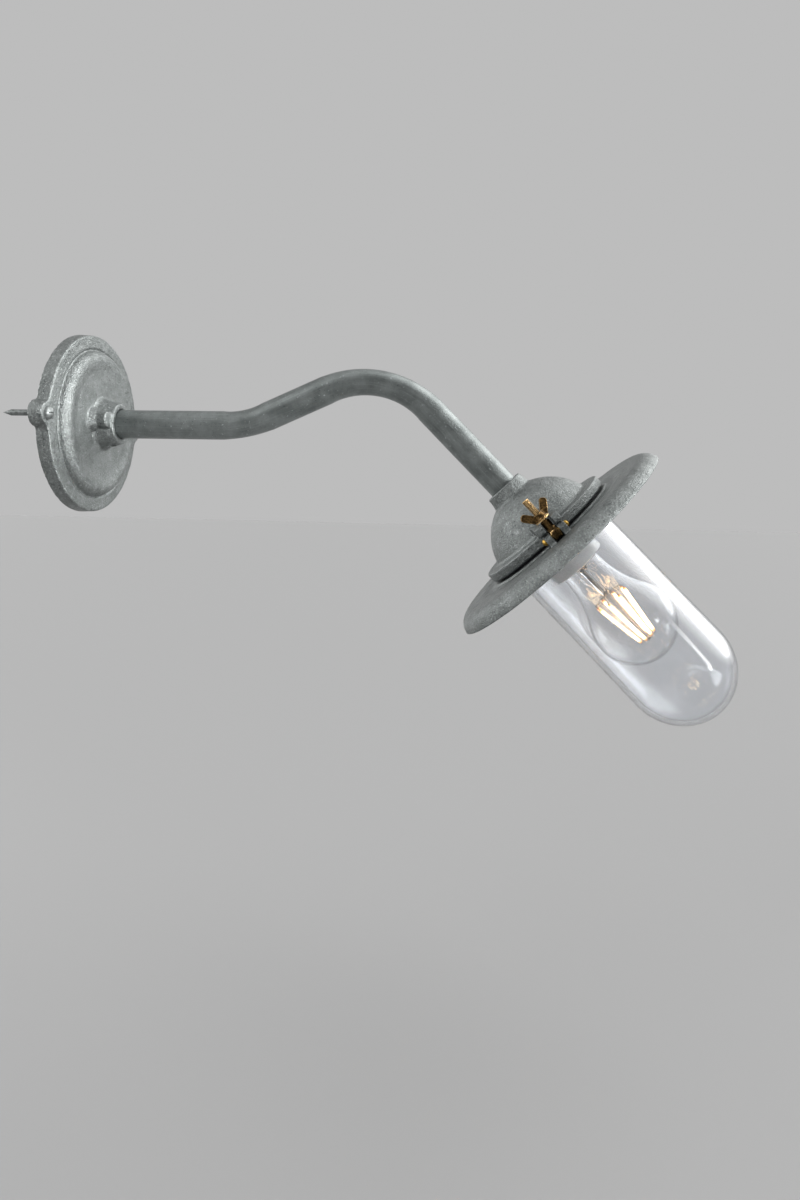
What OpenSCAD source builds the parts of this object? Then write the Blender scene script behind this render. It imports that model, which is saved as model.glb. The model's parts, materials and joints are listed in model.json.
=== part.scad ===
// Outdoor swan-neck wall light: cast wall plate, bent steel tube, cast dome with a clamped brim ring,
// a well glass held by two swing bolts, and a porcelain lampholder with a filament-style lamp.
// Millimetres. The origin is the centre of the plate on the wall. +Z is up, the arm leaves along -Y,
// and +X is on the right for someone who faces the wall.

/* [Wall plate] */
// Diameter of the plate across its front rim
plate_d = 132; // [120:1:160]
// Draft of the rim, the growth of its radius from front to wall
plate_draft = 0.5; // [0.2:0.1:1]
// Depth of the rim from the wall to its flat band
rim_depth = 10; // [9:0.5:14]
// Width of the flat band round the rim
band_w = 8.6; // [7:0.1:10]
// Height of the fine bead inside the band
bead_h = 0.5; // [0.3:0.1:1]
// Width of the bead inside the band
bead_w = 1; // [0.6:0.1:1.4]
// Width of the groove between bead and pillow
groove_w = 1.8; // [1:0.1:3]
// Depth of the groove below the band
groove_depth = 0.7; // [0.6:0.1:2]
// Height of the pillow's crest above the wall
pillow_h = 16; // [15:0.5:20]
// Radius of the pillow's rounded shoulder
shoulder_r = 7; // [5:0.5:7]
// Depth of the shallow dish inside the shoulder
dish_depth = 1; // [0.4:0.1:2]
// Wall thickness of the castings
cast_wall = 3.6; // [3:0.1:5]
// Diameter of the hub's front face
hub_d = 30.6; // [28:0.2:36]
// Diameter of the hub where it leaves the plate
hub_base_d = 38; // [36:0.5:46]
// Distance of the hub's front face from the wall
hub_h = 29.5; // [26:0.5:36]
// Radius of the fillet at the foot of the hub
hub_fillet = 3; // [1:0.5:4]
// Radius of the half-round boss on the hub's side
boss_r = 6.2; // [4:0.2:8]
// Height of the half-round boss above the wall
boss_h = 27.5; // [24:0.5:32]
// Distance between the two wall screws
lug_spacing = 133; // [125:1:165]
// Radius of a lug's nose at its front
lug_r = 7.4; // [6.5:0.1:9]
// Radius of a lug's nose at the wall
lug_base_r = 9.4; // [7:0.1:11]
// Diameter of the hole in each lug
lug_hole_d = 5.4; // [5.2:0.1:6]

/* [Wall screws] */
// Mean diameter of a wall screw's thread
wall_screw_d = 4.2; // [3.8:0.1:4.4]
// Diameter of its plain shank in the lug
wall_shank_d = 4.8; // [4.6:0.1:5]
// Length of a wall screw behind the wall plane
wall_screw_in = 22; // [20:1:60]
// Diameter of its round head
wall_head_d = 9.4; // [8:0.1:11]
// Height of its round head
wall_head_h = 3.6; // [2.5:0.1:5]
// Width of the driver slot
slot_w = 1.2; // [0.8:0.1:1.6]

/* [Arm] */
// Outside diameter of the tube
tube_d = 21.3; // [20:0.1:22]
// Wall of the tube
tube_wall = 2; // [1.5:0.1:3]
// Distance of the tube's rear end from the wall
tube_start = 9.5; // [8:0.5:12]
// Distance of the first bend from the wall
run_1 = 108.5; // [90:0.5:130]
// Centreline radius of the first bend
bend_1_r = 78; // [60:1:100]
// Rise of the middle run above level
rise = 24.5; // [15:0.5:35]
// Length of the middle run
run_2 = 48.5; // [30:0.5:70]
// Centreline radius of the top bend
bend_2_r = 67.5; // [55:0.5:90]
// Fall of the lamp's axis below level
tilt = 45.5; // [40:0.5:55]
// Length of the last run down to the collar
run_3 = 76.8; // [60:0.2:100]

/* [Dome] */
// Diameter of the collar at its top
collar_d = 29.3; // [28:0.1:34]
// Diameter of the collar at its foot
collar_base_d = 31.6; // [30:0.1:36]
// Height of the collar
collar_h = 9.4; // [7:0.2:14]
// Outside radius of the dome
dome_r = 42.6; // [40:0.2:46]
// Distance from the collar's top to the flange's top
dome_h = 38; // [36:0.5:42]
// Diameter of the dome's flange
flange_d = 103.6; // [102:0.2:106]
// Thickness of the dome's flange
flange_t = 7; // [6:0.2:9]
// Rounding of the flange's edges
flange_round = 1.2; // [0.5:0.1:1.6]

/* [Brim] */
// Diameter of the brim
brim_d = 182; // [170:1:200]
// Height of the brim from its crest to its lip
brim_h = 10; // [9:0.5:12]
// Radius of the brim's rolled edge
brim_roll = 12; // [9:0.5:14]
// Wall of the brim
brim_wall = 3.5; // [3:0.1:4.5]
// Gap between the dome's flange and the brim's seat
seat_gap = 1.5; // [0.8:0.1:2]
// Width of the brim ring's seat rim
seat_rim_w = 5.6; // [5:0.1:6]

/* [Glass] */
// Outside diameter of the well glass
glass_d = 78.2; // [74:0.2:79]
// Wall of the well glass
glass_wall = 3.5; // [2.5:0.1:4.5]
// Length of the glass from its flange to the tip
glass_len = 167.5; // [160:0.5:190]
// Thickness of the glass's flange
glass_flange_t = 4; // [3:0.1:5]
// Width of the glass's flange beyond its wall
glass_flange_w = 7.2; // [6:0.1:7.4]
// Thickness of each rubber seal
seal_t = 2; // [1.5:0.1:3]

/* [Swing bolts] */
// Diameter of the threaded stud
stud_d = 5; // [4:0.1:5]
// Pitch of the stud's thread
stud_pitch = 0.8; // [0.7:0.05:0.9]
// Diameter of the plain shank above the eye
shank_d = 6.2; // [5.4:0.1:6.4]
// Radius of the eye round the hinge pin
eye_r = 4.2; // [3.6:0.1:4.3]
// Width of the eye between the ears
eye_w = 6.4; // [5.6:0.1:6.6]
// Distance from the hinge pin to the end of the stud
stud_reach = 28.3; // [26:0.1:32]
// Diameter of the hinge pin
pin_d = 4; // [3:0.1:4.4]
// Length of the hinge pin between its heads
pin_len = 17.6; // [17.4:0.1:19]
// Diameter of each head of the hinge pin
pin_head_d = 5; // [4.6:0.1:5.4]
// Height of each head of the hinge pin
pin_head_h = 2; // [1:0.1:3]
// Width of each ear on the brim ring
ear_w = 5.1; // [4:0.1:5.4]
// Distance between the two ears
ear_gap = 6.9; // [6.8:0.1:7.2]
// Width of each prong of the dome's forks
prong_w = 5.4; // [4:0.1:6]
// Width of the slot between the prongs
fork_slot = 8.2; // [7.6:0.1:8.6]
// Height of a fork from its seat to its underside
fork_h = 6.9; // [6:0.1:7.5]
// Radial distance of the hinge pins from the lamp's axis
pin_r = 57; // [56.8:0.1:58]

/* [Wing nuts] */
// Diameter of the nut's hub at its seat
nut_d = 9.6; // [8.8:0.1:10]
// Diameter of the nut's hub at its top
nut_top_d = 7.2; // [6.8:0.1:8]
// Height of the nut's hub
nut_h = 4.4; // [3.5:0.1:6]
// Width of a wing
wing_w = 5.2; // [4:0.1:6]
// Thickness of a wing
wing_t = 2; // [1.2:0.1:2.6]
// Length of a wing from its root in the hub to its tip
wing_len = 12.2; // [9:0.1:13]
// Angle of a wing from the stud
wing_angle = 39.5; // [35:0.5:50]
// Turn of the wings from square to the lamp's axis
wing_turn = 12; // [0:1:20]
// Thickness of the washer under the nut
washer_t = 0.8; // [0.5:0.1:1]
// Diameter of the washer
washer_d = 10.6; // [10:0.1:11]

/* [Lampholder] */
// Outside diameter of the porcelain body
holder_d = 43; // [42:0.2:45]
// Diameter of its upper part
holder_top_d = 39; // [38:0.2:40]
// Height of the porcelain body
holder_h = 46; // [44:0.5:50]
// Height of its upper part
holder_top_h = 15; // [12:0.5:17]
// Inside diameter of the screw shell
shell_d = 26.6; // [26.5:0.02:26.8]
// Wall of the screw shell
shell_wall = 0.5; // [0.4:0.05:0.6]
// Thickness of the steel strap
strap_t = 2; // [1.5:0.1:2.5]
// Width of the steel strap
strap_w = 14; // [12:0.5:16]
// Distance from the collar's top to the strap
strap_depth = 28; // [27:0.5:29]

/* [Lamp] */
// Diameter of the lamp's bulb
bulb_d = 60; // [55:1:62]
// Length of the lamp over all
bulb_len = 110.5; // [108:0.5:114]
// Diameter of the lamp's screw cap
cap_d = 26.4; // [26.3:0.02:26.44]
// Length of the cap with its contact
cap_len = 26.5; // [26:0.5:28]
// Wall of the lamp's glass
bulb_wall = 0.8; // [0.5:0.1:1]
// Pitch of the lamp's screw thread
cap_pitch = 3.629; // [3.6:0.001:3.65]
// Number of filaments
filament_count = 8; // [4:1:10]
// Diameter of a filament
filament_d = 2.2; // [1.2:0.1:2.6]
// Length of a filament
filament_len = 36; // [30:1:38]

/* [Wiring] */
// Diameter of each insulated wire
wire_d = 2.6; // [2:0.1:3]
// Distance of each wire from the middle of the tube
wire_offset = 3.4; // [2.6:0.1:4]
// Diameter of the small screws in the lampholder and the plate
small_screw_d = 4; // [3.4:0.1:4.2]
// Diameter of their heads
small_head_d = 6.8; // [6:0.1:7]
// Height of their heads
small_head_h = 2.4; // [2:0.1:2.6]
// Diameter of the two grub screws that hold the tube
grub_d = 5; // [4:0.1:6]

/* [Hidden] */
$fn = 96;

// Clearance of pins, screws and the tube in their holes, on the radius
fit = 0.05;
// Clearance between neighbours that don't touch
clear = 0.3;
// Overrun of a cut past a face
cut = 1;
// Small chamfer on turned and cast edges
chamfer = 0.6;
// Steps in a drawn arc
arc_steps = 12;

// Arm, as distances out from the wall and up
tube_r = tube_d / 2;
bend_thinning = 0.06;
mid_start = [run_1 + bend_1_r * sin(rise), bend_1_r * (1 - cos(rise))];
mid_end = mid_start + run_2 * [cos(rise), sin(rise)];
top_centre = mid_end + bend_2_r * [sin(rise), -cos(rise)];
last_start = top_centre + bend_2_r * [sin(tilt), cos(tilt)];
collar_top = last_start + run_3 * [cos(tilt), -sin(tilt)];

// Wall plate
plate_r = plate_d / 2;
band_in_r = plate_r - band_w;
groove_out_r = band_in_r - bead_w;
groove_in_r = groove_out_r - groove_w;
groove_floor = rim_depth - groove_depth;
crest_r = groove_in_r - shoulder_r;
dish_w = 9;
hub_foot = pillow_h - dish_depth;
hub_lean = atan((hub_base_d - hub_d) / 2 / (hub_h - hub_foot));
fillet_centre_r = hub_base_d / 2 + hub_fillet * (1 - sin(hub_lean)) / cos(hub_lean);
lug_top = rim_depth - clear;
lug_root_r = 11;
lug_root_in = 10.5;
plate_ceiling = hub_foot - cast_wall;
rim_w = 12;
cavity_r = plate_r - rim_w;
cavity_depth = 5.5;
cavity_ceiling_r = 44;
gasket_inset = 5;
gasket_w = 4;
gasket_out_r = plate_r - gasket_inset;
gasket_in_r = gasket_out_r - gasket_w;
gasket_t = 1.6;
boss_sink = 4.3;
boss_side = hub_d / 2 + boss_r - boss_sink;
boss_lift = 1.5;

// Screws
wall_head_r = wall_head_d / 2;
screw_point_len = 6;
slot_depth = 1.4;
small_r = small_screw_d / 2;
small_head_r = small_head_d / 2;
small_slot_w = 1;
small_slot_depth = 1.2;
thread_left = 1;
plate_screw_in = cast_wall - thread_left;
grub_r = grub_d / 2;
grub_key_r = 1.45;
grub_key_depth = 2;
hub_grub_back = 7.5;
hub_grub_out = hub_h - hub_grub_back;

// Lamp head, as distances along the lamp's axis from the top of the collar
tube_in = 12.5;
collar_r = collar_d / 2;
collar_base_r = collar_base_d / 2;
collar_fillet = 0.9;
collar_foot_r = collar_base_r + collar_fillet;
dome_centre = collar_h + sqrt(dome_r * dome_r - collar_foot_r * collar_foot_r);
dome_in_r = dome_r - cast_wall;
dome_fillet = 1.3;
flange_r = flange_d / 2;
flange_low = dome_h + flange_t;
glass_r = glass_d / 2;
glass_clear = 0.9;
glass_flange_r = glass_r + glass_flange_w;
glass_edge = 0.8;
pocket_r = glass_flange_r + glass_clear;
recess_r = glass_flange_r + clear;
recess_roof = flange_low - seal_t;
seal_play = 1.4;
seal_in_r = glass_r + seal_play;
ledge_top = flange_low + glass_flange_t + seal_t;
ledge_t = 3.5;
ledge_low = ledge_top + ledge_t;
seat_top = flange_low + seat_gap;
seat_r = pocket_r + seat_rim_w;
brim_r = brim_d / 2;
crest_drop = 0.5;
brim_crest = seat_top + crest_drop;
brim_under = brim_crest + brim_wall;
roll_centre_r = brim_r - sqrt(brim_roll * brim_roll - (brim_roll - brim_h) * (brim_roll - brim_h));
roll_end = -asin((brim_roll - brim_h) / brim_roll);
valley_drop = 1.2;
valley_out = 4.8;
crest_out = 13.2;
valley_s = brim_crest + valley_drop;
valley_r = seat_r + valley_out;
crest_start_r = seat_r + crest_out;

// Hinge pins, ears and forks
pin_lift = 2;
pin_s = flange_low - pin_lift;
hinge_r = pin_d / 2;
ear_rise = 3.7;
ear_out = 4.5;
ear_top = pin_s - ear_rise;
ear_sink = 1.8;
ear_low = valley_s + ear_sink;
fork_gap = 1;
fork_under = ear_top - fork_gap;
fork_top = fork_under - fork_h;
fork_out = 5.4;
fork_root = 1.5;
fork_in = dome_in_r - fork_root;
seat_h = pin_s - fork_top;
seat_lift = 0.1;
face_gap = 0.05;
stud_r = stud_d / 2;
shank_under = 1.1;
shank_end = fork_top + shank_under;
shank_taper = 0.8;
washer_low = fork_top - seat_lift;
nut_low = washer_low - washer_t - face_gap;
wing_root = 2.2;
wing_corner = 1;

// Lampholder, as distances from the top of the collar
strap_low = strap_depth + strap_t;
strap_half = 31;
strap_screw_y = 26;
holder_screw_y = 10.7;
strap_earth_y = 17.8;
pillar_r = 4.5;
pillar_screw_in = 7;
holder_screw_in = 8;
hole_spare = 1;
holder_r = holder_d / 2;
holder_top_r = holder_top_d / 2;
holder_low = strap_low + holder_h;
holder_step = strap_low + holder_top_h;
cap_edge = holder_low;
contact_s = cap_edge - cap_len;
spring_h = 3.5;
spring_t = 0.6;
spring_r = 3.4;
spring_w = 5;
shell_in_r = shell_d / 2;
shell_r = shell_in_r + shell_wall;
socket_r = shell_r + fit;
socket_floor = contact_s - spring_h;
shell_gap = 1.5;
shell_inset = 2;
shell_start = contact_s + shell_gap;
shell_end = holder_low - shell_inset;
mouth_chamfer = 2;
terminal_x = 13.5;
terminal_w = 7;
terminal_h = 8.5;
pocket_play = 1;
pocket_in = terminal_x - terminal_w / 2 - pocket_play;
pocket_depth = terminal_h + 2 * pocket_play;
leg_r = 1.1;
live_leg_x = 10.8;
shell_leg_x = shell_in_r - shell_wall;
leg_top = strap_low + pocket_play + terminal_h;

// Lamp
cap_r = cap_d / 2;
cap_wall = 0.4;
cap_in_r = cap_r - cap_wall - fit;
cap_taper = 3;
contact_r = 4.8;
contact_t = 1;
insulator_r = 9;
insulator_h = 2.5;
insulator_top = contact_s + contact_t;
cap_top = insulator_top + insulator_h;
bulb_r = bulb_d / 2;
bulb_centre = contact_s + bulb_len - bulb_r;
neck_sink = 4;
neck_r = bulb_r / 2 + clear;
neck_len = 4;
neck_end = cap_edge + neck_len;
neck_drop = bulb_centre - neck_end;
neck_arc_r = (neck_r * neck_r + neck_drop * neck_drop - bulb_r * bulb_r) / (2 * (bulb_r - neck_r));
neck_turn = atan(neck_drop / (neck_r + neck_arc_r));
stem_flare_r = cap_in_r - bulb_wall - fit;
stem_flare_h = 9;
stem_r = 2.8;
stem_len = 28;
stem_end = cap_edge + stem_len;
filament_r = filament_d / 2;
support_rise = 4;
filament_top = stem_end + support_rise;
filament_top_r = 12.3;
filament_low_r = 6.6;
filament_drop = sqrt(filament_len * filament_len - pow(filament_top_r - filament_low_r, 2));
frame_wire_r = 0.4;

// Terminals and ring terminals
block_half = 11;
block_h = 8;
block_len = 15;
block_top = -20;
block_mid = block_top - block_len / 2;
pole_x = 5.5;
pole_out = plate_ceiling - block_h / 2;
sleeve_r = 2.6;
sleeve_bore = 1.5;
sleeve_inset = 1;
clamp_r = 1.3;
clamp_y = 4.2;
clamp_sink = 0.5;
ring_t = 0.8;
ring_r = 3.4;
barrel_r = 1.85;
barrel_gap = 0.6;
barrel_start = ring_r + barrel_gap;
barrel_len = 5;
plate_earth_z = 27;

// Wires: three run through the arm, and their loose ends are points of across, up and out or down
wire_r = wire_d / 2;
wire_sides = 8;
bend_1_steps = 6;
bend_2_steps = 14;
curve_steps = 3;
pole_route = [[-5.5, -25.5, 7.4], [-5.5, -19, 7.4], [-5.2, -15, 5.8], [-4.6, -10, 4.4], [-4, -5, 4.6],
  [-3.5, -1, 7]];
plate_earth_route = [[0, 22, 9.5], [0, 16.5, 9.3], [0, 12.5, 7], [0, 8.5, 5], [0, 5, 5.2], [0, 3.6, 7.4]];
holder_route = [[-3.6, 0, 15], [-5.5, 0, 18], [-9, 0, 20.3], [-12.3, 0, 23], [-13.5, 0, 27],
  [-13.5, 0, 31], [-13.5, 0, 36]];
strap_earth_route = [[0.6, 4, 15.5], [3.5, 7, 18], [8, 10.5, 20.5], [12.5, 14, 23], [14, 16.6, 25.2],
  [12, 17.8, 26.1],
  [9, 17.8, 26.1], [4.6, 17.8, 26.1]];

function arc(centre, r, from, to, steps = arc_steps) =
  [for (i = [0 : steps])
    let (a = from + (to - from) * i / steps)
    centre + r * [cos(a), sin(a)]];

// A smooth step from one point to another that leaves and arrives level
function ease(from, to, steps = arc_steps) =
  [for (i = [0 : steps])
    let (share = i / steps)
    [from[0] + (to[0] - from[0]) * share, from[1] + (to[1] - from[1]) * (1 - cos(180 * share)) / 2]];

// A point given as across, up and out from the wall, and one given as across, up and along the lamp's axis
function wall_point(p) = [p[0], -p[2], p[1]];
function head_point(p) =
  [p[0], -collar_top[0] - p[2] * cos(tilt) - p[1] * sin(tilt),
    collar_top[1] - p[2] * sin(tilt) + p[1] * cos(tilt)];

// Stands a shape that is drawn with +Z leaving the wall
module on_wall() {
  rotate([90, 0, 0]) children();
}

// Hangs a shape that is drawn with +Z running down the lamp's axis from the collar's top
module in_head() {
  translate([0, -collar_top[0], collar_top[1]]) rotate([90 + tilt, 0, 0]) children();
}

// Sets a shape at one hinge pin, side 0 at -X and side 1 at +X, with its +Z up along the stud
module at_pin(side) {
  in_head() rotate([0, 0, 180 * (1 - side)]) translate([pin_r, 0, pin_s]) rotate([180, 0, 0]) children();
}

// A shape on both sides of the lamp's axis
module both_sides() {
  children();
  rotate([0, 0, 180]) children();
}

// A round-head screw: the head above the face at 0, the shank running down from it
module machine_screw(shank) {
  difference() {
    union() {
      rotate_extrude() polygon(concat([[0, 0]], [for (a = [0 : 15 : 90])
        [small_head_r * cos(a), small_head_h * sin(a)]]));
      translate([0, 0, -shank]) cylinder(r = small_r, h = shank + fit);
    }
    translate([-small_head_r, -small_slot_w / 2, small_head_h - small_slot_depth])
      cube([2 * small_head_r, small_slot_w, small_slot_depth + cut]);
  }
}

// A headless clamp screw with its slot at the top
module clamp_screw(h) {
  difference() {
    cylinder(r = clamp_r, h = h);
    translate([-clamp_r - cut, -small_slot_w / 3, h - small_slot_w])
      cube([2 * (clamp_r + cut), small_slot_w * 2 / 3, small_slot_w + cut]);
  }
}

// A grub screw that starts against the tube and ends with its key socket
module grub_screw(h) {
  difference() {
    translate([0, 0, tube_r]) cylinder(r = grub_r, h = h);
    translate([0, 0, tube_r + h - grub_key_depth])
      cylinder(r = grub_key_r, h = grub_key_depth + cut, $fn = 6);
  }
}

// One straight run of the tube
module straight(h) {
  difference() {
    cylinder(r = tube_r, h = h);
    translate([0, 0, -cut]) cylinder(r = tube_r - tube_wall, h = h + 2 * cut);
  }
}

// One bend of the tube, whose wall is a hair thinner than the straight runs
module bend(r, angle) {
  rotate_extrude(angle = angle) translate([r, 0]) difference() {
    circle(r = tube_r - bend_thinning);
    circle(r = tube_r - tube_wall + bend_thinning);
  }
}

module arm_tube() {
  color("slategray") {
    translate([0, -tube_start, 0]) on_wall() straight(run_1 - tube_start + fit);
    translate([0, -run_1, bend_1_r]) rotate([180, 90, 0]) bend(bend_1_r, rise);
    translate([0, -mid_start[0], mid_start[1]]) rotate([90 - rise, 0, 0])
      translate([0, 0, -fit]) straight(run_2 + 2 * fit);
    translate([0, -top_centre[0], top_centre[1]]) rotate([-rise, 0, 0]) rotate([180, -90, 0])
      bend(bend_2_r, rise + tilt);
    translate([0, -last_start[0], last_start[1]]) rotate([90 + tilt, 0, 0])
      translate([0, 0, -fit]) straight(run_3 + tube_in + fit);
  }
}

// One screw lug at +X, cut back so that it ends inside the rim
module lug() {
  difference() {
    hull() {
      translate([lug_spacing / 2, 0, 0]) cylinder(r1 = lug_base_r, r2 = lug_r, h = lug_top, $fn = 32);
      translate([plate_r - lug_root_in, 0, 0])
        cylinder(r1 = lug_root_r + plate_draft, r2 = lug_root_r, h = lug_top, $fn = 32);
    }
    translate([0, 0, -cut]) cylinder(r = band_in_r + band_w / 3, h = lug_top + 2 * cut);
  }
}

module wall_plate() {
  color("slategray") on_wall() difference() {
    union() {
      rotate_extrude() polygon(concat(
        [[0, 0], [plate_r + plate_draft, 0], [plate_r, rim_depth - chamfer],
          [plate_r - chamfer, rim_depth]],
        [for (a = [0 : 30 : 180]) [band_in_r - bead_w * (1 - cos(a)) / 2, rim_depth + bead_h * sin(a)]],
        [[groove_out_r, groove_floor], [groove_in_r, groove_floor]],
        arc([crest_r, pillow_h - shoulder_r], shoulder_r, 0, 90),
        ease([crest_r - fit, pillow_h], [crest_r - dish_w, hub_foot]),
        arc([fillet_centre_r, hub_foot + hub_fillet], hub_fillet, 270, 180 + hub_lean, arc_steps / 2),
        [[hub_d / 2, hub_h - chamfer], [hub_d / 2 - chamfer, hub_h], [0, hub_h]]
      ));
      translate([-boss_side, boss_lift, plate_ceiling])
        cylinder(r = boss_r, h = boss_h - plate_ceiling - chamfer);
      translate([-boss_side, boss_lift, boss_h - chamfer])
        cylinder(r1 = boss_r, r2 = boss_r - chamfer, h = chamfer);
      both_sides() lug();
    }
    rotate_extrude() polygon([[0, -cut], [cavity_r, -cut], [cavity_r, cavity_depth],
      [cavity_ceiling_r, plate_ceiling],
      [0, plate_ceiling]]);
    translate([0, 0, plate_ceiling - cut]) cylinder(r = tube_r + fit, h = hub_h);
    difference() {
      translate([0, 0, -cut]) cylinder(r = gasket_out_r + fit, h = gasket_t + cut);
      translate([0, 0, -2 * cut]) cylinder(r = gasket_in_r - fit, h = gasket_t + 3 * cut);
    }
    both_sides() translate([lug_spacing / 2, 0, 0]) {
      translate([0, 0, -cut]) cylinder(r = lug_hole_d / 2, h = rim_depth + 2 * cut);
      translate([0, 0, lug_top]) cylinder(r = wall_head_r + clear, h = rim_depth);
    }
    translate([0, 0, hub_grub_out]) rotate([90, 0, 0]) cylinder(r = grub_r + fit, h = hub_base_d);
    for (z = [block_mid, plate_earth_z]) {
      translate([0, z, plate_ceiling - cut]) cylinder(r = small_r + fit, h = plate_screw_in + fit + cut);
    }
  }
}

module wall_gasket() {
  color("dimgray") on_wall() difference() {
    cylinder(r = gasket_out_r, h = gasket_t);
    translate([0, 0, -cut]) cylinder(r = gasket_in_r, h = gasket_t + 2 * cut);
  }
}

// Two round-head screws whose points stand in the wall
module wall_screws() {
  head_arc_r = (wall_head_r * wall_head_r + wall_head_h * wall_head_h) / (2 * wall_head_h);
  color("gainsboro") on_wall() both_sides() translate([lug_spacing / 2, 0, 0]) difference() {
    union() {
      translate([0, 0, lug_top]) rotate_extrude() polygon(concat(
        [[0, 0]],
        arc([0, wall_head_h - head_arc_r], head_arc_r, asin((head_arc_r - wall_head_h) / head_arc_r), 90)
      ));
      cylinder(r = wall_shank_d / 2, h = lug_top + fit);
      translate([0, 0, screw_point_len - wall_screw_in])
        cylinder(r = wall_screw_d / 2, h = wall_screw_in - screw_point_len + fit);
      translate([0, 0, -wall_screw_in]) cylinder(r1 = 0, r2 = wall_screw_d / 2, h = screw_point_len);
    }
    translate([-wall_head_r, -slot_w / 2, lug_top + wall_head_h - slot_depth])
      cube([wall_head_d, slot_w, slot_depth + cut]);
  }
}

module hub_grub_screw() {
  color("silver") on_wall() translate([0, 0, hub_grub_out]) rotate([90, 0, 0])
    grub_screw(hub_d / 2 - tube_r);
}

module at_poles() {
  for (x = [-pole_x, pole_x]) {
    translate([x, block_mid, pole_out]) children();
  }
}

// Two-pole block on the plate's ceiling, with its screw wells facing the wall
module terminal_block() {
  color("ivory") on_wall() difference() {
    translate([-block_half, block_top - block_len, plate_ceiling - block_h])
      cube([2 * block_half, block_len, block_h]);
    at_poles() {
      translate([0, block_len / 2 + cut, 0]) rotate([90, 0, 0])
        cylinder(r = sleeve_r + fit, h = block_len + 2 * cut);
      for (y = [-clamp_y, clamp_y]) {
        translate([0, y, -block_h]) cylinder(r = clamp_r + clear, h = block_h);
      }
    }
    translate([0, block_mid, plate_ceiling - block_h - cut])
      cylinder(r = small_r + fit, h = block_h + 2 * cut);
  }
}

module terminal_sleeves() {
  sleeve_half = block_len / 2 - sleeve_inset;
  color("goldenrod") on_wall() at_poles() difference() {
    translate([0, sleeve_half, 0]) rotate([90, 0, 0]) cylinder(r = sleeve_r, h = 2 * sleeve_half);
    translate([0, sleeve_half + cut, 0]) rotate([90, 0, 0]) cylinder(r = sleeve_bore, h =
      2 * (sleeve_half + cut));
    for (y = [-clamp_y, clamp_y]) {
      translate([0, y, -sleeve_r - cut]) cylinder(r = clamp_r + fit, h = sleeve_r + cut);
    }
  }
}

module terminal_screws() {
  color("silver") on_wall() at_poles() for (y = [-clamp_y, clamp_y]) {
    translate([0, y, -wire_r]) rotate([180, 0, 0]) clamp_screw(block_h / 2 - wire_r - clamp_sink);
  }
}

module block_screw() {
  color("silver") on_wall() translate([0, block_mid, plate_ceiling - block_h]) rotate([180, 0, 0])
    machine_screw(block_h + plate_screw_in);
}

// A crimped ring: its face at 0 lies on the metal below it, and its barrel leaves along +X
module ring_terminal() {
  difference() {
    union() {
      cylinder(r = ring_r, h = ring_t);
      translate([0, -barrel_r, 0]) cube([barrel_start + cut, 2 * barrel_r, ring_t]);
      translate([barrel_start, 0, barrel_r]) rotate([0, 90, 0]) cylinder(r = barrel_r, h = barrel_len);
    }
    translate([0, 0, -cut]) cylinder(r = small_r + fit, h = ring_t + 2 * cut);
    translate([barrel_start - cut, 0, barrel_r]) rotate([0, 90, 0])
      cylinder(r = wire_r + fit, h = barrel_len + 2 * cut);
  }
}

module at_plate_earth() {
  on_wall() translate([0, plate_earth_z, plate_ceiling]) rotate([180, 0, 0]) children();
}

module at_strap_earth() {
  in_head() translate([0, strap_earth_y, strap_depth]) rotate([180, 0, 0]) children();
}

module earth_rings() {
  color("silver") {
    at_plate_earth() rotate([0, 0, 90]) ring_terminal();
    at_strap_earth() ring_terminal();
  }
}

module earth_screws() {
  color("silver") {
    at_plate_earth() translate([0, 0, ring_t]) machine_screw(ring_t + plate_screw_in);
    at_strap_earth() translate([0, 0, ring_t]) machine_screw(ring_t + strap_t);
  }
}

// The middle of one wire inside the tube, at an offset across and up
function tube_route(side, up) = concat(
  [[side, -tube_start, up]],
  [for (i = [0 : bend_1_steps])
    let (a = rise * i / bend_1_steps)
    wall_point([side, bend_1_r - (bend_1_r - up) * cos(a), run_1 + (bend_1_r - up) * sin(a)])],
  [for (i = [0 : bend_2_steps])
    let (a = -rise + (rise + tilt) * i / bend_2_steps)
    wall_point([side, top_centre[1] + (bend_2_r + up) * cos(a), top_centre[0] + (bend_2_r + up) * sin(a)])],
  [head_point([side, up, tube_in])]
);

// A curve through a list of points
function curve(p) = [
  for (i = [0 : len(p) - 2])
    for (k = [0 : curve_steps - 1])
      let (t = k / curve_steps, a = p[max(i - 1, 0)], b = p[i], c = p[i + 1], d = p[min(i + 2, len(p) - 1)])
      (2 * b + (c - a) * t + (2 * a - 5 * b + 4 * c - d) * t * t + (3 * b - a - 3 * c + d) * t * t * t) / 2
];

function wire_route(side, up, plate_end, head_end, flip) = concat(
  curve(concat([for (p = plate_end) wall_point([p[0] * flip, p[1], p[2]])], [[side, -tube_start, up]])),
  tube_route(side, up),
  curve([for (p = head_end) head_point([p[0] * flip, p[1], p[2]])]),
  [head_point([head_end[len(head_end) - 1][0] * flip, head_end[len(head_end) - 1][1],
    head_end[len(head_end) - 1][2]])]
);

function unit(v) = v / norm(v);

// Directions across a route, each carried on from the one before it so that the tube doesn't twist
function carried(ways, last, i = 0) =
  i == len(ways) ? [] : let (across = unit(last - (last * ways[i]) * ways[i]))
    concat([across], carried(ways, across, i + 1));

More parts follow.
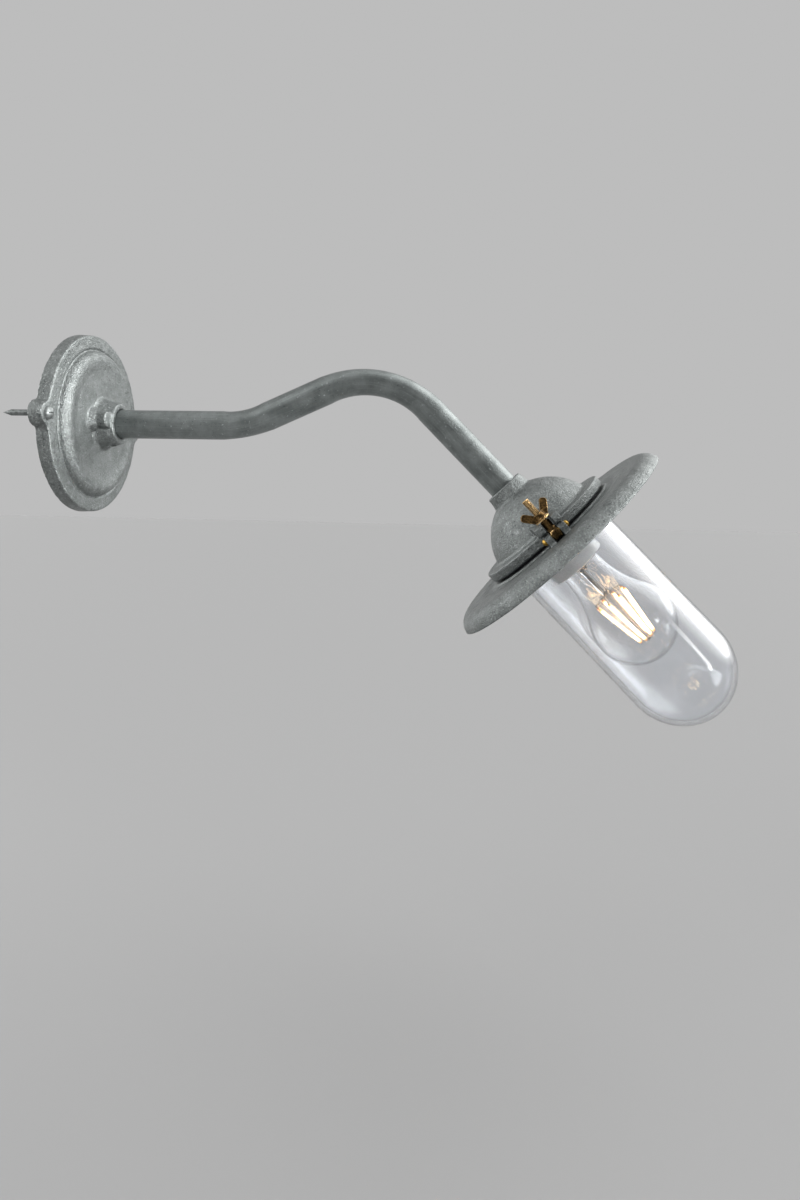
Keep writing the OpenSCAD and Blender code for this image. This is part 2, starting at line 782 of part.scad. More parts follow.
module wire(route) {
  ways = [for (i = [0 : len(route) - 1]) unit(route[min(i + 1, len(route) - 1)] - route[max(i - 1, 0)])];
  across = carried(ways, [1, 0.1, 0]);
  rings = len(route);
  points = [for (i = [0 : rings - 1]) for (k = [0 : wire_sides - 1])
    let (a = 360 * k / wire_sides)
    route[i] + wire_r * (cos(a) * across[i] + sin(a) * cross(ways[i], across[i]))];
  sides = [for (i = [0 : rings - 2]) for (k = [0 : wire_sides - 1])
    let (j = (k + 1) % wire_sides)
    [i * wire_sides + k, (i + 1) * wire_sides + k, (i + 1) * wire_sides + j, i * wire_sides + j]];
  first = [for (k = [0 : wire_sides - 1]) k];
  last = [for (k = [wire_sides - 1 : -1 : 0]) (rings - 1) * wire_sides + k];
  polyhedron(points = points, faces = concat([first], sides, [last]));
}

module live_wire() {
  color("saddlebrown") wire(wire_route(-wire_offset, 0, pole_route, holder_route, 1));
}

module neutral_wire() {
  color("royalblue") wire(wire_route(wire_offset, 0, pole_route, holder_route, -1));
}

module earth_wire() {
  color("olivedrab") wire(wire_route(0, wire_offset, plate_earth_route, strap_earth_route, 1));
}

// Two prongs at +X whose tops are the washer's seat, rounded outside so that the washer can swing off
module fork() {
  difference() {
    for (y = [-fork_slot / 2 - prong_w, fork_slot / 2]) {
      translate([fork_in, y, fork_top]) cube([pin_r + fork_out - fork_in, prong_w, fork_h]);
    }
    difference() {
      translate([pin_r, -fork_slot - prong_w, fork_top - cut])
        cube([fork_out + cut, 2 * (fork_slot + prong_w), fork_h + 2 * cut]);
      translate([pin_r, 0, pin_s]) rotate([90, 0, 0]) cylinder(r = seat_h, h =
        4 * (fork_slot + prong_w), center = true);
    }
  }
}

module dome() {
  color("slategray") in_head() difference() {
    union() {
      rotate_extrude() polygon(concat(
        [[tube_r + fit, 0], [collar_r - chamfer, 0], [collar_r, chamfer],
          [collar_base_r, collar_h - collar_fillet]],
        arc([0, dome_centre], dome_r, -acos(collar_foot_r / dome_r),
          -asin((dome_centre - dome_h + dome_fillet) / dome_r)),
        [[sqrt(dome_r * dome_r - pow(dome_centre - dome_h, 2)) + dome_fillet, dome_h]],
        arc([flange_r - flange_round, dome_h + flange_round], flange_round, -90, 0, arc_steps / 3),
        arc([flange_r - flange_round, flange_low - flange_round], flange_round, 0, 90, arc_steps / 3),
        [[recess_r, flange_low], [recess_r, recess_roof]],
        arc([0, dome_centre], dome_in_r, -asin((dome_centre - recess_roof) / dome_in_r),
          -acos((tube_r + fit) / dome_in_r))
      ));
      both_sides() fork();
      intersection() {
        both_sides() translate([0, strap_screw_y, 0]) cylinder(r = pillar_r, h = strap_depth);
        translate([0, 0, dome_centre]) sphere(r = dome_r - cast_wall / 2);
      }
    }
    both_sides() translate([0, strap_screw_y, strap_depth - pillar_screw_in - hole_spare])
      cylinder(r = small_r + fit, h = pillar_screw_in + hole_spare + cut);
    translate([0, 0, collar_h / 2]) rotate([90, 0, 0]) cylinder(r = grub_r + fit, h = collar_base_d);
  }
}

module collar_grub_screw() {
  color("silver") in_head() translate([0, 0, collar_h / 2]) rotate([90, 0, 0])
    grub_screw(collar_r - tube_r - clear);
}

// One ear at +X on the +Y side of a swing bolt
module ear() {
  difference() {
    union() {
      translate([pin_r, ear_gap / 2, pin_s]) rotate([-90, 0, 0]) cylinder(r = ear_out, h = ear_w);
      translate([pin_r - ear_out, ear_gap / 2, pin_s]) cube([2 * ear_out, ear_w, ear_low - pin_s]);
    }
    translate([pin_r - ear_out - cut, 0, pin_s - ear_out - cut])
      cube([2 * (ear_out + cut), ear_gap + ear_w, ear_out + cut - ear_rise]);
    translate([pin_r, 0, pin_s]) rotate([-90, 0, 0]) cylinder(r = hinge_r + fit, h = ear_gap + ear_w);
  }
}

module brim_ring() {
  color("slategray") in_head() {
    rotate_extrude() polygon(concat(
      [[glass_r + glass_clear, ledge_top], [pocket_r, ledge_top], [pocket_r, seat_top],
        [seat_r - chamfer, seat_top]],
      [[seat_r, seat_top + chamfer]],
      ease([seat_r + chamfer, seat_top + 2 * chamfer], [valley_r, valley_s], arc_steps / 2),
      ease([valley_r + chamfer, valley_s], [crest_start_r, brim_crest], arc_steps / 2),
      arc([roll_centre_r, brim_crest + brim_roll], brim_roll, -90, roll_end),
      arc([roll_centre_r, brim_crest + brim_roll], brim_roll - brim_wall, roll_end, -90),
      ease([crest_start_r + chamfer, brim_under], [seat_r, ledge_low]),
      [[glass_r + glass_clear, ledge_low]]
    ));
    both_sides() {
      ear();
      mirror([0, 1, 0]) ear();
    }
  }
}

module seal(top) {
  color("darkslategray") in_head() translate([0, 0, top]) difference() {
    cylinder(r = glass_flange_r, h = seal_t);
    translate([0, 0, -cut]) cylinder(r = seal_in_r, h = seal_t + 2 * cut);
  }
}

module upper_seal() {
  seal(recess_roof);
}

module lower_seal() {
  seal(ledge_top - seal_t);
}

// Thick pressed glass: a flange at its mouth, a straight wall and a round end
module well_glass() {
  end_s = flange_low + glass_len - glass_r;
  foot = flange_low + glass_flange_t;
  color("lightcyan", 0.35) in_head() rotate_extrude() polygon(concat(
    [[glass_r - glass_wall, flange_low], [glass_flange_r - glass_edge, flange_low]],
    [[glass_flange_r, flange_low + glass_edge], [glass_flange_r, foot - glass_edge],
      [glass_flange_r - glass_edge, foot]],
    [[glass_r + glass_edge, foot], [glass_r, foot + glass_edge]],
    arc([0, end_s], glass_r, 0, 90, 2 * arc_steps),
    arc([0, end_s], glass_r - glass_wall, 90, 0, 2 * arc_steps)
  ));
}

// Steel strap across the dome, with round ends
module holder_strap() {
  color("silver") in_head() translate([0, 0, strap_depth]) difference() {
    union() {
      translate([-strap_w / 2, -strap_half + strap_w / 2, 0])
        cube([strap_w, 2 * strap_half - strap_w, strap_t]);
      both_sides() translate([0, strap_half - strap_w / 2, 0]) cylinder(r = strap_w / 2, h = strap_t);
    }
    for (y = [-strap_screw_y, strap_screw_y, -holder_screw_y, holder_screw_y, strap_earth_y]) {
      translate([0, y, -cut]) cylinder(r = small_r + fit, h = strap_t + 2 * cut);
    }
  }
}

// Two screws that come up through the strap into the dome's pillars
module strap_screws() {
  color("silver") in_head() both_sides() translate([0, strap_screw_y, strap_low])
    machine_screw(strap_t + pillar_screw_in);
}

// Two screws that go down through the strap into the porcelain
module holder_screws() {
  color("silver") in_head() both_sides() translate([0, holder_screw_y, strap_depth]) rotate([180, 0, 0])
    machine_screw(strap_t + holder_screw_in);
}

module lampholder() {
  color("white") in_head() difference() {
    rotate_extrude() polygon([
      [0, strap_low], [holder_top_r - chamfer, strap_low], [holder_top_r, strap_low + chamfer],
        [holder_top_r, holder_step],
      [holder_r - chamfer, holder_step], [holder_r, holder_step + chamfer],
        [holder_r, holder_low - chamfer],
      [holder_r - chamfer, holder_low], [0, holder_low]
    ]);
    translate([0, 0, socket_floor]) cylinder(r = socket_r, h = holder_h);
    translate([0, 0, holder_low - mouth_chamfer])
      cylinder(r1 = socket_r, r2 = socket_r + 2 * mouth_chamfer, h = 2 * mouth_chamfer);
    both_sides() {
      translate([pocket_in, -terminal_w / 2 - pocket_play, strap_low - cut])
        cube([holder_top_r, terminal_w + 2 * pocket_play, pocket_depth + cut]);
      translate([0, holder_screw_y, strap_low - cut]) cylinder(r = small_r + fit, h = holder_screw_in +
        hole_spare + cut);
    }
    translate([-live_leg_x, 0, strap_low]) cylinder(r = leg_r + fit, h = socket_floor - strap_low + fit);
    translate([shell_leg_x, 0, strap_low]) cylinder(r = leg_r + fit, h = shell_start - strap_low);
  }
}

// Thin brass shell that takes the lamp's thread, with the leg that feeds it
module screw_shell() {
  color("goldenrod") in_head() {
    difference() {
      translate([0, 0, shell_start]) cylinder(r = shell_r, h = shell_end - shell_start);
      translate([0, 0, shell_start - cut]) cylinder(r = shell_in_r, h = shell_end - shell_start + 2 * cut);
    }
    intersection() {
      translate([shell_leg_x, 0, leg_top]) cylinder(r = leg_r, h = shell_start - leg_top + fit);
      cylinder(r = shell_r, h = shell_end);
    }
  }
}

// Spring pad under the lamp's end contact, with its strip and leg
module centre_contact() {
  color("goldenrod") in_head() {
    translate([-live_leg_x, -spring_w / 2, socket_floor]) cube([live_leg_x, spring_w, spring_t]);
    translate([0, 0, socket_floor]) cylinder(r = spring_r, h = spring_h - face_gap);
    translate([-live_leg_x, 0, leg_top]) cylinder(r = leg_r, h = socket_floor + spring_t - leg_top);
  }
}

module at_terminals() {
  in_head() both_sides() translate([terminal_x, 0, strap_low + pocket_play]) children();
}

module holder_terminals() {
  color("goldenrod") at_terminals() difference() {
    translate([-terminal_w / 2, -terminal_w / 2, 0]) cube([terminal_w, terminal_w, terminal_h]);
    translate([0, 0, -cut]) cylinder(r = sleeve_bore, h = terminal_h);
    translate([0, 0, terminal_h / 2]) rotate([0, 90, 0]) cylinder(r = clamp_r + fit, h = terminal_w);
  }
}

module holder_terminal_screws() {
  color("silver") at_terminals() translate([wire_r, 0, terminal_h / 2]) rotate([0, 90, 0])
    clamp_screw(terminal_w / 2 - wire_r + clamp_sink);
}

// Brass pin with a domed head at each end
module hinge_pin(side) {
  color("darkgoldenrod") at_pin(side) rotate([90, 0, 0]) {
    cylinder(r = hinge_r, h = pin_len + 2 * fit, center = true);
    for (turn = [0, 180]) {
      rotate([turn, 0, 0]) translate([0, 0, pin_len / 2]) rotate_extrude() polygon(concat(
        [[0, 0]],
        [for (a = [0 : 15 : 90]) [pin_head_d / 2 * cos(a), pin_head_h * sin(a)]]
      ));
    }
  }
}

module hinge_pin_near() {
  hinge_pin(0);
}

module hinge_pin_far() {
  hinge_pin(1);
}

// Eye, plain shank and stud
module swing_bolt(side) {
  shank_h = pin_s - shank_end;
  color("peru") at_pin(side) difference() {
    union() {
      rotate([90, 0, 0]) cylinder(r = eye_r, h = eye_w, center = true);
      cylinder(r = shank_d / 2, h = shank_h);
      translate([0, 0, shank_h - fit]) cylinder(r1 = shank_d / 2, r2 = stud_r, h = shank_taper);
      cylinder(r = stud_r, h = stud_reach - chamfer);
      translate([0, 0, stud_reach - chamfer]) cylinder(r1 = stud_r, r2 = stud_r - chamfer, h = chamfer);
    }
    rotate([90, 0, 0]) cylinder(r = hinge_r + fit, h = 2 * eye_w, center = true);
  }
}

module swing_bolt_near() {
  swing_bolt(0);
}

module swing_bolt_far() {
  swing_bolt(1);
}

module washer(side) {
  color("peru") at_pin(side) translate([0, 0, pin_s - washer_low]) difference() {
    cylinder(r = washer_d / 2, h = washer_t);
    translate([0, 0, -cut]) cylinder(r = stud_r + fit, h = washer_t + 2 * cut);
  }
}

module washer_near() {
  washer(0);
}

module washer_far() {
  washer(1);
}

// One flat wing that leans out from the stud, with rounded corners
module wing() {
  rotate([90, 0, 0]) linear_extrude(height = wing_t, center = true)
    translate([wing_root, 0]) rotate(-wing_angle) {
      translate([-wing_w / 2, 0]) square([wing_w, wing_len - wing_corner]);
      for (x = [wing_corner - wing_w / 2, wing_w / 2 - wing_corner]) {
        translate([x, wing_len - wing_corner]) circle(r = wing_corner, $fn = 32);
      }
      translate([wing_corner - wing_w / 2, 0]) square([wing_w - 2 * wing_corner, wing_len]);
    }
}

module wing_nut(side) {
  color("peru") at_pin(side) translate([0, 0, pin_s - nut_low]) rotate([0, 0, 90 + wing_turn])
    difference() {
    union() {
      cylinder(r1 = nut_d / 2, r2 = nut_top_d / 2, h = nut_h);
      both_sides() wing();
    }
    translate([0, 0, -cut]) cylinder(r = stud_r + fit, h = wing_len + 2 * cut);
    translate([-wing_len, -wing_len, -wing_len]) cube([2 * wing_len, 2 * wing_len, wing_len]);
  }
}

module wing_nut_near() {
  wing_nut(0);
}

module wing_nut_far() {
  wing_nut(1);
}

// Outline of the lamp's bulb, drawn in by an inset: neck, hollow shoulder and ball
function bulb_outline(inset) = concat(
  [[cap_in_r - inset, cap_edge - neck_sink]],
  [for (i = [0 : arc_steps / 2])
    let (a = 180 * i / arc_steps)
    [cap_in_r - inset + (neck_r - cap_in_r) * sin(a), neck_end - (neck_end - cap_edge) * cos(a)]],
  arc([neck_r + neck_arc_r, neck_end], neck_arc_r + inset, 180, 180 - neck_turn),
  arc([0, bulb_centre], bulb_r - inset, -neck_turn, 90, 2 * arc_steps)
);

module lamp_bulb() {
  inner = bulb_outline(bulb_wall);
  color("lightcyan", 0.3) in_head() rotate_extrude() polygon(concat(
    bulb_outline(0),
    [for (i = [len(inner) - 1 : -1 : 0]) inner[i]]
  ));
}

module lamp_cap() {
  color("goldenrod") in_head() rotate_extrude() polygon([
    [insulator_r - cap_wall, cap_top], [insulator_r, cap_top], [cap_r, cap_top + cap_taper],
      [cap_r, cap_edge],
    [cap_r - cap_wall, cap_edge], [cap_r - cap_wall, cap_top + cap_taper]
  ]);
}

module lamp_insulator() {
  color("black") in_head() translate([0, 0, insulator_top])
    cylinder(r1 = contact_r + contact_t, r2 = insulator_r, h = insulator_h);
}

module lamp_contact() {
  color("silver") in_head() translate([0, 0, contact_s]) cylinder(r1 = contact_r - contact_t, r2 =
    contact_r, h = contact_t);
}

// Glass stem: a flare that closes the neck and a rod that carries the support wires
module lamp_stem() {
  color("lightcyan", 0.5) in_head() rotate_extrude() polygon(concat(
    [[0, cap_edge], [stem_flare_r, cap_edge]],
    [for (i = [0 : arc_steps / 2])
      let (a = 180 * i / arc_steps)
      [stem_flare_r - (stem_flare_r - stem_r) * sin(a), cap_edge + stem_flare_h * (1 - cos(a))]],
    [[stem_r, stem_end - stem_r]],
    arc([0, stem_end - stem_r], stem_r, 0, 90, arc_steps / 2)
  ));
}

// A thin rod between two points
module rod(from, to, r) {
  way = to - from;
  translate(from) rotate([0, acos(way[2] / norm(way)), atan2(way[1], way[0])])
    cylinder(r = r, h = norm(way));
}

function filament_end(i, r, s) = [r * cos(360 * (i + 0.5) / filament_count),
  r * sin(360 * (i + 0.5) / filament_count), s];

// Support wires from the stem's tip to the top of each filament, and the rod and spokes that hold their feet
module filament_frame() {
  wire_gap = frame_wire_r + fit;
  foot_s = filament_top + filament_drop + wire_gap;
  color("silver") in_head() {
    rod([0, 0, stem_end - stem_r], [0, 0, foot_s], frame_wire_r);
    for (i = [0 : filament_count - 1]) {
      rod([0, 0, stem_end - stem_r], filament_end(i, filament_top_r, filament_top - wire_gap),
        frame_wire_r);
      rod([0, 0, foot_s], filament_end(i, filament_low_r, foot_s), frame_wire_r);
    }
  }
}

module filaments() {
  color("orange") in_head() for (i = [0 : filament_count - 1]) {
    rod(filament_end(i, filament_top_r, filament_top), filament_end(i, filament_low_r, filament_top +
      filament_drop), filament_r);
  }
}

wall_plate();
wall_gasket();
wall_screws();
hub_grub_screw();
arm_tube();
terminal_block();
terminal_sleeves();
terminal_screws();
block_screw();
earth_screws();
earth_rings();
live_wire();
neutral_wire();
earth_wire();
dome();
collar_grub_screw();
brim_ring();
upper_seal();
lower_seal();
well_glass();
holder_strap();
strap_screws();
holder_screws();
lampholder();
screw_shell();
centre_contact();
holder_terminals();
holder_terminal_screws();
hinge_pin_near();
swing_bolt_near();
washer_near();
wing_nut_near();
hinge_pin_far();
swing_bolt_far();
washer_far();
wing_nut_far();
lamp_bulb();
lamp_cap();
lamp_insulator();
lamp_contact();
lamp_stem();
filament_frame();
filaments();
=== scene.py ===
"""Outdoor swan-neck wall light: galvanised castings, a bent tube, bronze swing bolts and a clear well glass."""
import json
from math import atan2, cos, degrees, pi, radians, sin, sqrt

import bmesh
import bpy
from mathutils import Matrix, Vector, kdtree, noise


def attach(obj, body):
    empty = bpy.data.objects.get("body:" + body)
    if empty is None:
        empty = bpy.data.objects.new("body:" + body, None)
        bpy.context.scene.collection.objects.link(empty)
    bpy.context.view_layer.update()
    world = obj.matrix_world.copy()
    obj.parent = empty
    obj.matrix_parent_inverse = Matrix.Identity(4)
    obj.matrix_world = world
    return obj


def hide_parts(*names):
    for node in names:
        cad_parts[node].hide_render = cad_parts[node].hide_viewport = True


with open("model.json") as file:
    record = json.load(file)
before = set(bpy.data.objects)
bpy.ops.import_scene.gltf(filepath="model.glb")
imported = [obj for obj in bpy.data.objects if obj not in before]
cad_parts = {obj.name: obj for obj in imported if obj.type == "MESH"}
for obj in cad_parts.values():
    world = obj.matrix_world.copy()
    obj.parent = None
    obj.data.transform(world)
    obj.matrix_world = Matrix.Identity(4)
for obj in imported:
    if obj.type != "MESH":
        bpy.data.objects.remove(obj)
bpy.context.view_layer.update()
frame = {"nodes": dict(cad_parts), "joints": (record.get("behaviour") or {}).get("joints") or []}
node = frame["nodes"]
joints = {joint["name"]: joint for joint in frame["joints"]}
mm = 0.001

# The camera stands low on the near side and looks across the lamp, as in the photograph.
# Its lens and shift put the whole light in the upper half of an upright frame.
photo_long_side = 1200
focal_pixels = 736.145
centre_row = 468.4
sensor_width = 36.0
nearest_seen = 10.0
camera_place = Vector((-533.65, -284.42, -56.93)) * mm
yaw, pitch, roll = radians(-4.746), radians(2.888), radians(1.173)
ahead, right, up = Vector((1, 0, 0)), Vector((0, -1, 0)), Vector((0, 0, 1))
ahead, right = ahead * cos(yaw) + right * sin(yaw), right * cos(yaw) - ahead * sin(yaw)
ahead, up = ahead * cos(pitch) + up * sin(pitch), up * cos(pitch) - ahead * sin(pitch)
right, up = right * cos(roll) + up * sin(roll), up * cos(roll) - right * sin(roll)
lens = bpy.data.cameras.new("camera")
lens.lens = focal_pixels / photo_long_side * sensor_width
lens.sensor_width = sensor_width
lens.shift_y = (centre_row - photo_long_side / 2) / photo_long_side
lens.clip_start = nearest_seen * mm
camera = bpy.data.objects.new("camera", lens)
camera.matrix_world = Matrix.Translation(camera_place) @ Matrix((right, up, -ahead)).transposed().to_4x4()
bpy.context.collection.objects.link(camera)
bpy.context.scene.camera = camera


# The studio is plain and pale, with a sheet of matt paper for its floor, well below the light. Soft glows in
# its walls and one soft box lay long soft highlights on the metal and the glass. The camera sees the walls
# plain, without the glows, and the Standard view keeps every grey as it is set.
def linear(hex_colour):
    """An sRGB hex colour as linear red, green, blue and alpha."""
    channels = [int(hex_colour[i:i + 2], 16) / 255 for i in (1, 3, 5)]
    return tuple(c / 12.92 if c <= 0.04045 else ((c + 0.055) / 1.055) ** 2.4 for c in channels) + (1.0,)


def feed(owner, target, inputs):
    """Sets a shader node's inputs, each to a value or to the socket that feeds it."""
    for key, value in inputs.items():
        if isinstance(value, bpy.types.NodeSocket):
            owner.node_tree.links.new(value, target.inputs[key])
        else:
            target.inputs[key].default_value = value


def add(owner, kind, inputs=None, **settings):
    """Adds one shader node, with its settings and its inputs."""
    fresh = owner.node_tree.nodes.new(kind)
    for key, value in settings.items():
        setattr(fresh, key, value)
    feed(owner, fresh, inputs or {})
    return fresh


def surface(owner, **inputs):
    """Sets a material's own shader. An underscore stands for a space in an input's name."""
    named = {key.replace("_", " "): value for key, value in inputs.items()}
    feed(owner, owner.node_tree.nodes["Principled BSDF"], named)


def material(name, **fixed):
    """A new material, whose shader has these fixed values."""
    made = bpy.data.materials.new(name)
    made.use_nodes = True
    surface(made, **fixed)
    return made


floor_drop, floor_half = 420.0, 14000.0
bm = bmesh.new()
bmesh.ops.create_grid(bm, x_segments=1, y_segments=1, size=floor_half * mm)
bmesh.ops.translate(bm, verts=bm.verts, vec=(0, 0, -floor_drop * mm))
floor_mesh = bpy.data.meshes.new("floor")
bm.to_mesh(floor_mesh)
bm.free()
floor = bpy.data.objects.new("floor", floor_mesh)
bpy.context.collection.objects.link(floor)
paper = material("matt studio paper", Base_Color=linear("#949494"), Roughness=0.95, Specular_IOR_Level=0.1)
floor_mesh.materials.append(paper)

bpy.context.scene.view_settings.view_transform = "Standard"
world = bpy.data.worlds.new("studio")
bpy.context.scene.world = world
world.use_nodes = True
studio_way = add(world, "ShaderNodeTexCoord").outputs["Generated"]
wall_grey, wall_light, wall_behind_camera = "#E4E4E4", 0.655, 0.28
# Each glow has the way to its middle, the cosines at which it starts and is full, and its strength
# outside and inside.
glows = (((0.9, 0.1, 0.42), -0.6, 0.35, wall_behind_camera, wall_light),    # the walls themselves
         ((0.3, -0.68, 0.67), 0.7, 1.0, 0.0, 4.6),                          # high at the right
         ((-0.42, 0.84, 0.34), 0.84, 0.985, 0.0, 4.5),                      # at the left, near the camera
         ((-0.15, -0.1, 0.98), 0.75, 0.97, 0.0, 0.9),                       # overhead
         ((0.41, 0.91, 0.04), 0.93, 0.965, 0.0, 7.0),                       # far left, in the bulb
         ((0.31, -0.87, 0.37), 0.955, 0.98, 0.0, 4.0))                      # far right, in the bulb
brightness = 0.0
for way, edge, full, outside, inside in glows:
    toward = add(world, "ShaderNodeVectorMath", {0: studio_way, 1: way},
                 operation="DOT_PRODUCT").outputs["Value"]
    patch = add(world, "ShaderNodeMapRange", {"Value": toward, "From Min": edge, "From Max": full,
                                              "To Min": outside, "To Max": inside},
                interpolation_type="SMOOTHSTEP").outputs["Result"]
    brightness = add(world, "ShaderNodeMath", {0: brightness, 1: patch}, operation="ADD").outputs["Value"]
# A mix node of plain numbers has its share as input 0 and its two numbers as inputs 2 and 3.
seen = add(world, "ShaderNodeLightPath").outputs["Is Camera Ray"]
shown = add(world, "ShaderNodeMix", {0: seen, 2: brightness, 3: wall_light}).outputs[0]
feed(world, world.node_tree.nodes["Background"], {"Color": linear(wall_grey), "Strength": shown})

box_place, box_aim = Vector((-360, -680, 80)) * mm, Vector((-30, 0, 0)) * mm
box_wide, box_high, box_watts, box_spread = 240.0, 420.0, 0.85, radians(36)
soft_box = bpy.data.lights.new("plate_box", "AREA")
soft_box.shape = "RECTANGLE"
soft_box.size, soft_box.size_y = box_wide * mm, box_high * mm
soft_box.energy, soft_box.spread = box_watts, box_spread
back = (box_place - box_aim).normalized()
side = Vector((0, 0, 1)).cross(back).normalized()
stand = bpy.data.objects.new("plate_box", soft_box)
stand.matrix_world = Matrix.Translation(box_place) @ Matrix((side, back.cross(side), back)).transposed().to_4x4()
bpy.context.collection.objects.link(stand)
stand.visible_camera = False


# The wall plate is cast in sand and dipped in zinc, with two lugs for its screws and a hub that grips the arm,
# with a half-round boss on its side. The zinc is a mid grey with a soft sheen, mottled in patches. The sand
# leaves pits and a wavy skin, and is too fine to show, so its grain is drawn about twice as coarse.
def grained(owner, dark, light, patch_size, grain_size, relief, gloss, tones=(0.36, 0.64)):
    """Mottles a finish between two colours, and gives its grain a relief and a range of roughness, sizes in mm."""
    place = add(owner, "ShaderNodeTexCoord").outputs["Object"]
    patches = add(owner, "ShaderNodeTexNoise", {"Vector": place, "Scale": 1 / (patch_size * mm), "Detail": 6.0,
                                                "Roughness": 0.62}).outputs["Fac"]
    grain = add(owner, "ShaderNodeTexNoise", {"Vector": place, "Scale": 1 / (grain_size * mm), "Detail": 3.0,
                                              "Roughness": 0.65}).outputs["Fac"]
    ramp = add(owner, "ShaderNodeValToRGB", {"Fac": patches})
    for step, at, colour in zip(ramp.color_ramp.elements, tones, (dark, light)):
        step.position, step.color = at, linear(colour)
    sheen = add(owner, "ShaderNodeMapRange", {"Value": grain, "From Min": 0.3, "From Max": 0.7, "To Min": gloss[0],
                                              "To Max": gloss[1]}).outputs["Result"]
    bump = add(owner, "ShaderNodeBump", {"Height": grain, "Distance": relief * mm}).outputs["Normal"]
    tone = ramp.outputs["Color"]
    surface(owner, Base_Color=tone, Roughness=sheen, Normal=bump)
    return place, tone, grain, bump


def layered(owner, colour, *layers):
    """Lays tints over a colour, each with its pattern, where in it the tint starts and is full, and how strong."""
    for pattern, start, full, strength, tint in layers:
        share = add(owner, "ShaderNodeMapRange", {"Value": pattern, "From Min": start, "From Max": full,
                                                  "To Max": strength}).outputs["Result"]
        # A mix node of colours has its share as input 0, its colours as 6 and 7, and its result as output 2.
        colour = add(owner, "ShaderNodeMix", {0: share, 6: colour, 7: linear(tint)}, data_type="RGBA").outputs[2]
    return colour


zinc_patch, sand_grain, sand_relief, dross_size, pit_spacing, pit_size = 8.0, 1.15, 0.8, 3.0, 4.2, 0.7
casting = material("galvanised sand casting", Metallic=0.85)
place, tone, grain, _ = grained(casting, "#636766", "#7B7F7E", zinc_patch, sand_grain, sand_relief,
                                gloss=(0.28, 0.5), tones=(0.34, 0.66))
dross = add(casting, "ShaderNodeTexNoise", {"Vector": place, "Scale": 1 / (dross_size * mm), "Detail": 4.0,
                                            "Roughness": 0.72}).outputs["Fac"]
pits = add(casting, "ShaderNodeTexVoronoi", {"Vector": place, "Scale": 1 / (pit_spacing * mm)}).outputs["Distance"]
pit_edge = pit_size / pit_spacing
corner = add(casting, "ShaderNodeNewGeometry").outputs["Pointiness"]
surface(casting, Base_Color=layered(
    casting, tone,
    (dross, 0.41, 0.34, 0.65, "#4A4E4D"),              # dull stains
    (dross, 0.59, 0.67, 0.45, "#B4B9B7"),              # bright flecks of dross
    (grain, 0.55, 0.66, 0.4, "#B2B7B5"),               # painted glints on the tops of the grain
    (grain, 0.44, 0.34, 0.45, "#444847"),              # painted shade in the hollows between the grains
    (corner, 0.53, 0.62, 0.4, "#B9BEBC"),              # worn edges
    (corner, 0.48, 0.42, 0.6, "#3A3D3C"),              # painted shade in the inner corners
    (pits, pit_edge, 0.4 * pit_edge, 0.75, "#2E3130")))


def solid_of(name):
    """A bmesh of a node's solid, whose loose triangles are joined at their corners."""
    bm = bmesh.new()
    bm.from_mesh(node[name].data)
    bmesh.ops.remove_doubles(bm, verts=bm.verts, dist=0.002 * mm)
    return bm


def remeshed(bm, voxel, passes=2, share=1.0):
    """One closed skin around all the shapes in a bmesh, in small even faces, smoothed, of which a share is kept."""
    rough = bpy.data.objects.new("rough", bpy.data.meshes.new("rough"))
    bmesh.ops.recalc_face_normals(bm, faces=bm.faces)
    bm.to_mesh(rough.data)
    bm.free()
    bpy.context.collection.objects.link(rough)
    skin = rough.modifiers.new("skin", "REMESH")
    skin.mode, skin.voxel_size = "VOXEL", voxel * mm
    if share < 1:
        rough.modifiers.new("thinned", "DECIMATE").ratio = share
    bpy.context.view_layer.update()
    evaluated = rough.evaluated_get(bpy.context.evaluated_depsgraph_get())
    bm = bmesh.new()
    bm.from_mesh(evaluated.data)
    bpy.data.objects.remove(rough)
    for _ in range(passes):
        bmesh.ops.smooth_vert(bm, verts=bm.verts, factor=0.5, use_axis_x=True, use_axis_y=True, use_axis_z=True)
    bm.normal_update()
    return bm


def fit_piece(bm, name, body, slot, finish, *stands_for, flat=False):
    """Makes a bmesh a piece with its finish, on its body, in place of the nodes it stands for. Its slot is not
    used.
    """
    mesh = bpy.data.meshes.new(name)
    bm.to_mesh(mesh)
    bm.free()
    mesh.polygons.foreach_set("use_smooth", [not flat] * len(mesh.polygons))
    mesh.materials.append(finish)
    piece = bpy.data.objects.new(name, mesh)
    bpy.context.collection.objects.link(piece)
    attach(piece, body)
    if stands_for:
        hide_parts(*stands_for)
    return piece


def sand_skin(bm, wave, dents=()):
    """Sinks a casting's skin in waves, and in round dents given by place, radius and depth, all in mm."""
    wave_length, ripple_length, ripple_share = 9.0, 2.6, 0.5
    for vert in bm.verts:
        spot = vert.co / mm
        depth = wave * (1 + noise.noise(spot / wave_length) + ripple_share * noise.noise(spot / ripple_length)) / 2
        for middle, radius, deep in dents:
            away = (spot - Vector(middle)).length / radius
            if away < 1:
                depth += deep * (1 - away * away) ** 2
        vert.co -= vert.normal * depth * mm


def joined(bm, *others):
    """Adds other bmeshes to one."""
    for other in others:
        passing = bpy.data.meshes.new("passing")
        other.to_mesh(passing)
        other.free()
        bm.from_mesh(passing)
        bpy.data.meshes.remove(passing)


def arc_of(middle, radius, start, end, steps=10):
    """Points of an arc from one angle to another, in degrees."""
    angles = [radians(start + (end - start) * i / steps) for i in range(steps + 1)]
    return [(middle[0] + radius * cos(a), middle[1] + radius * sin(a)) for a in angles]


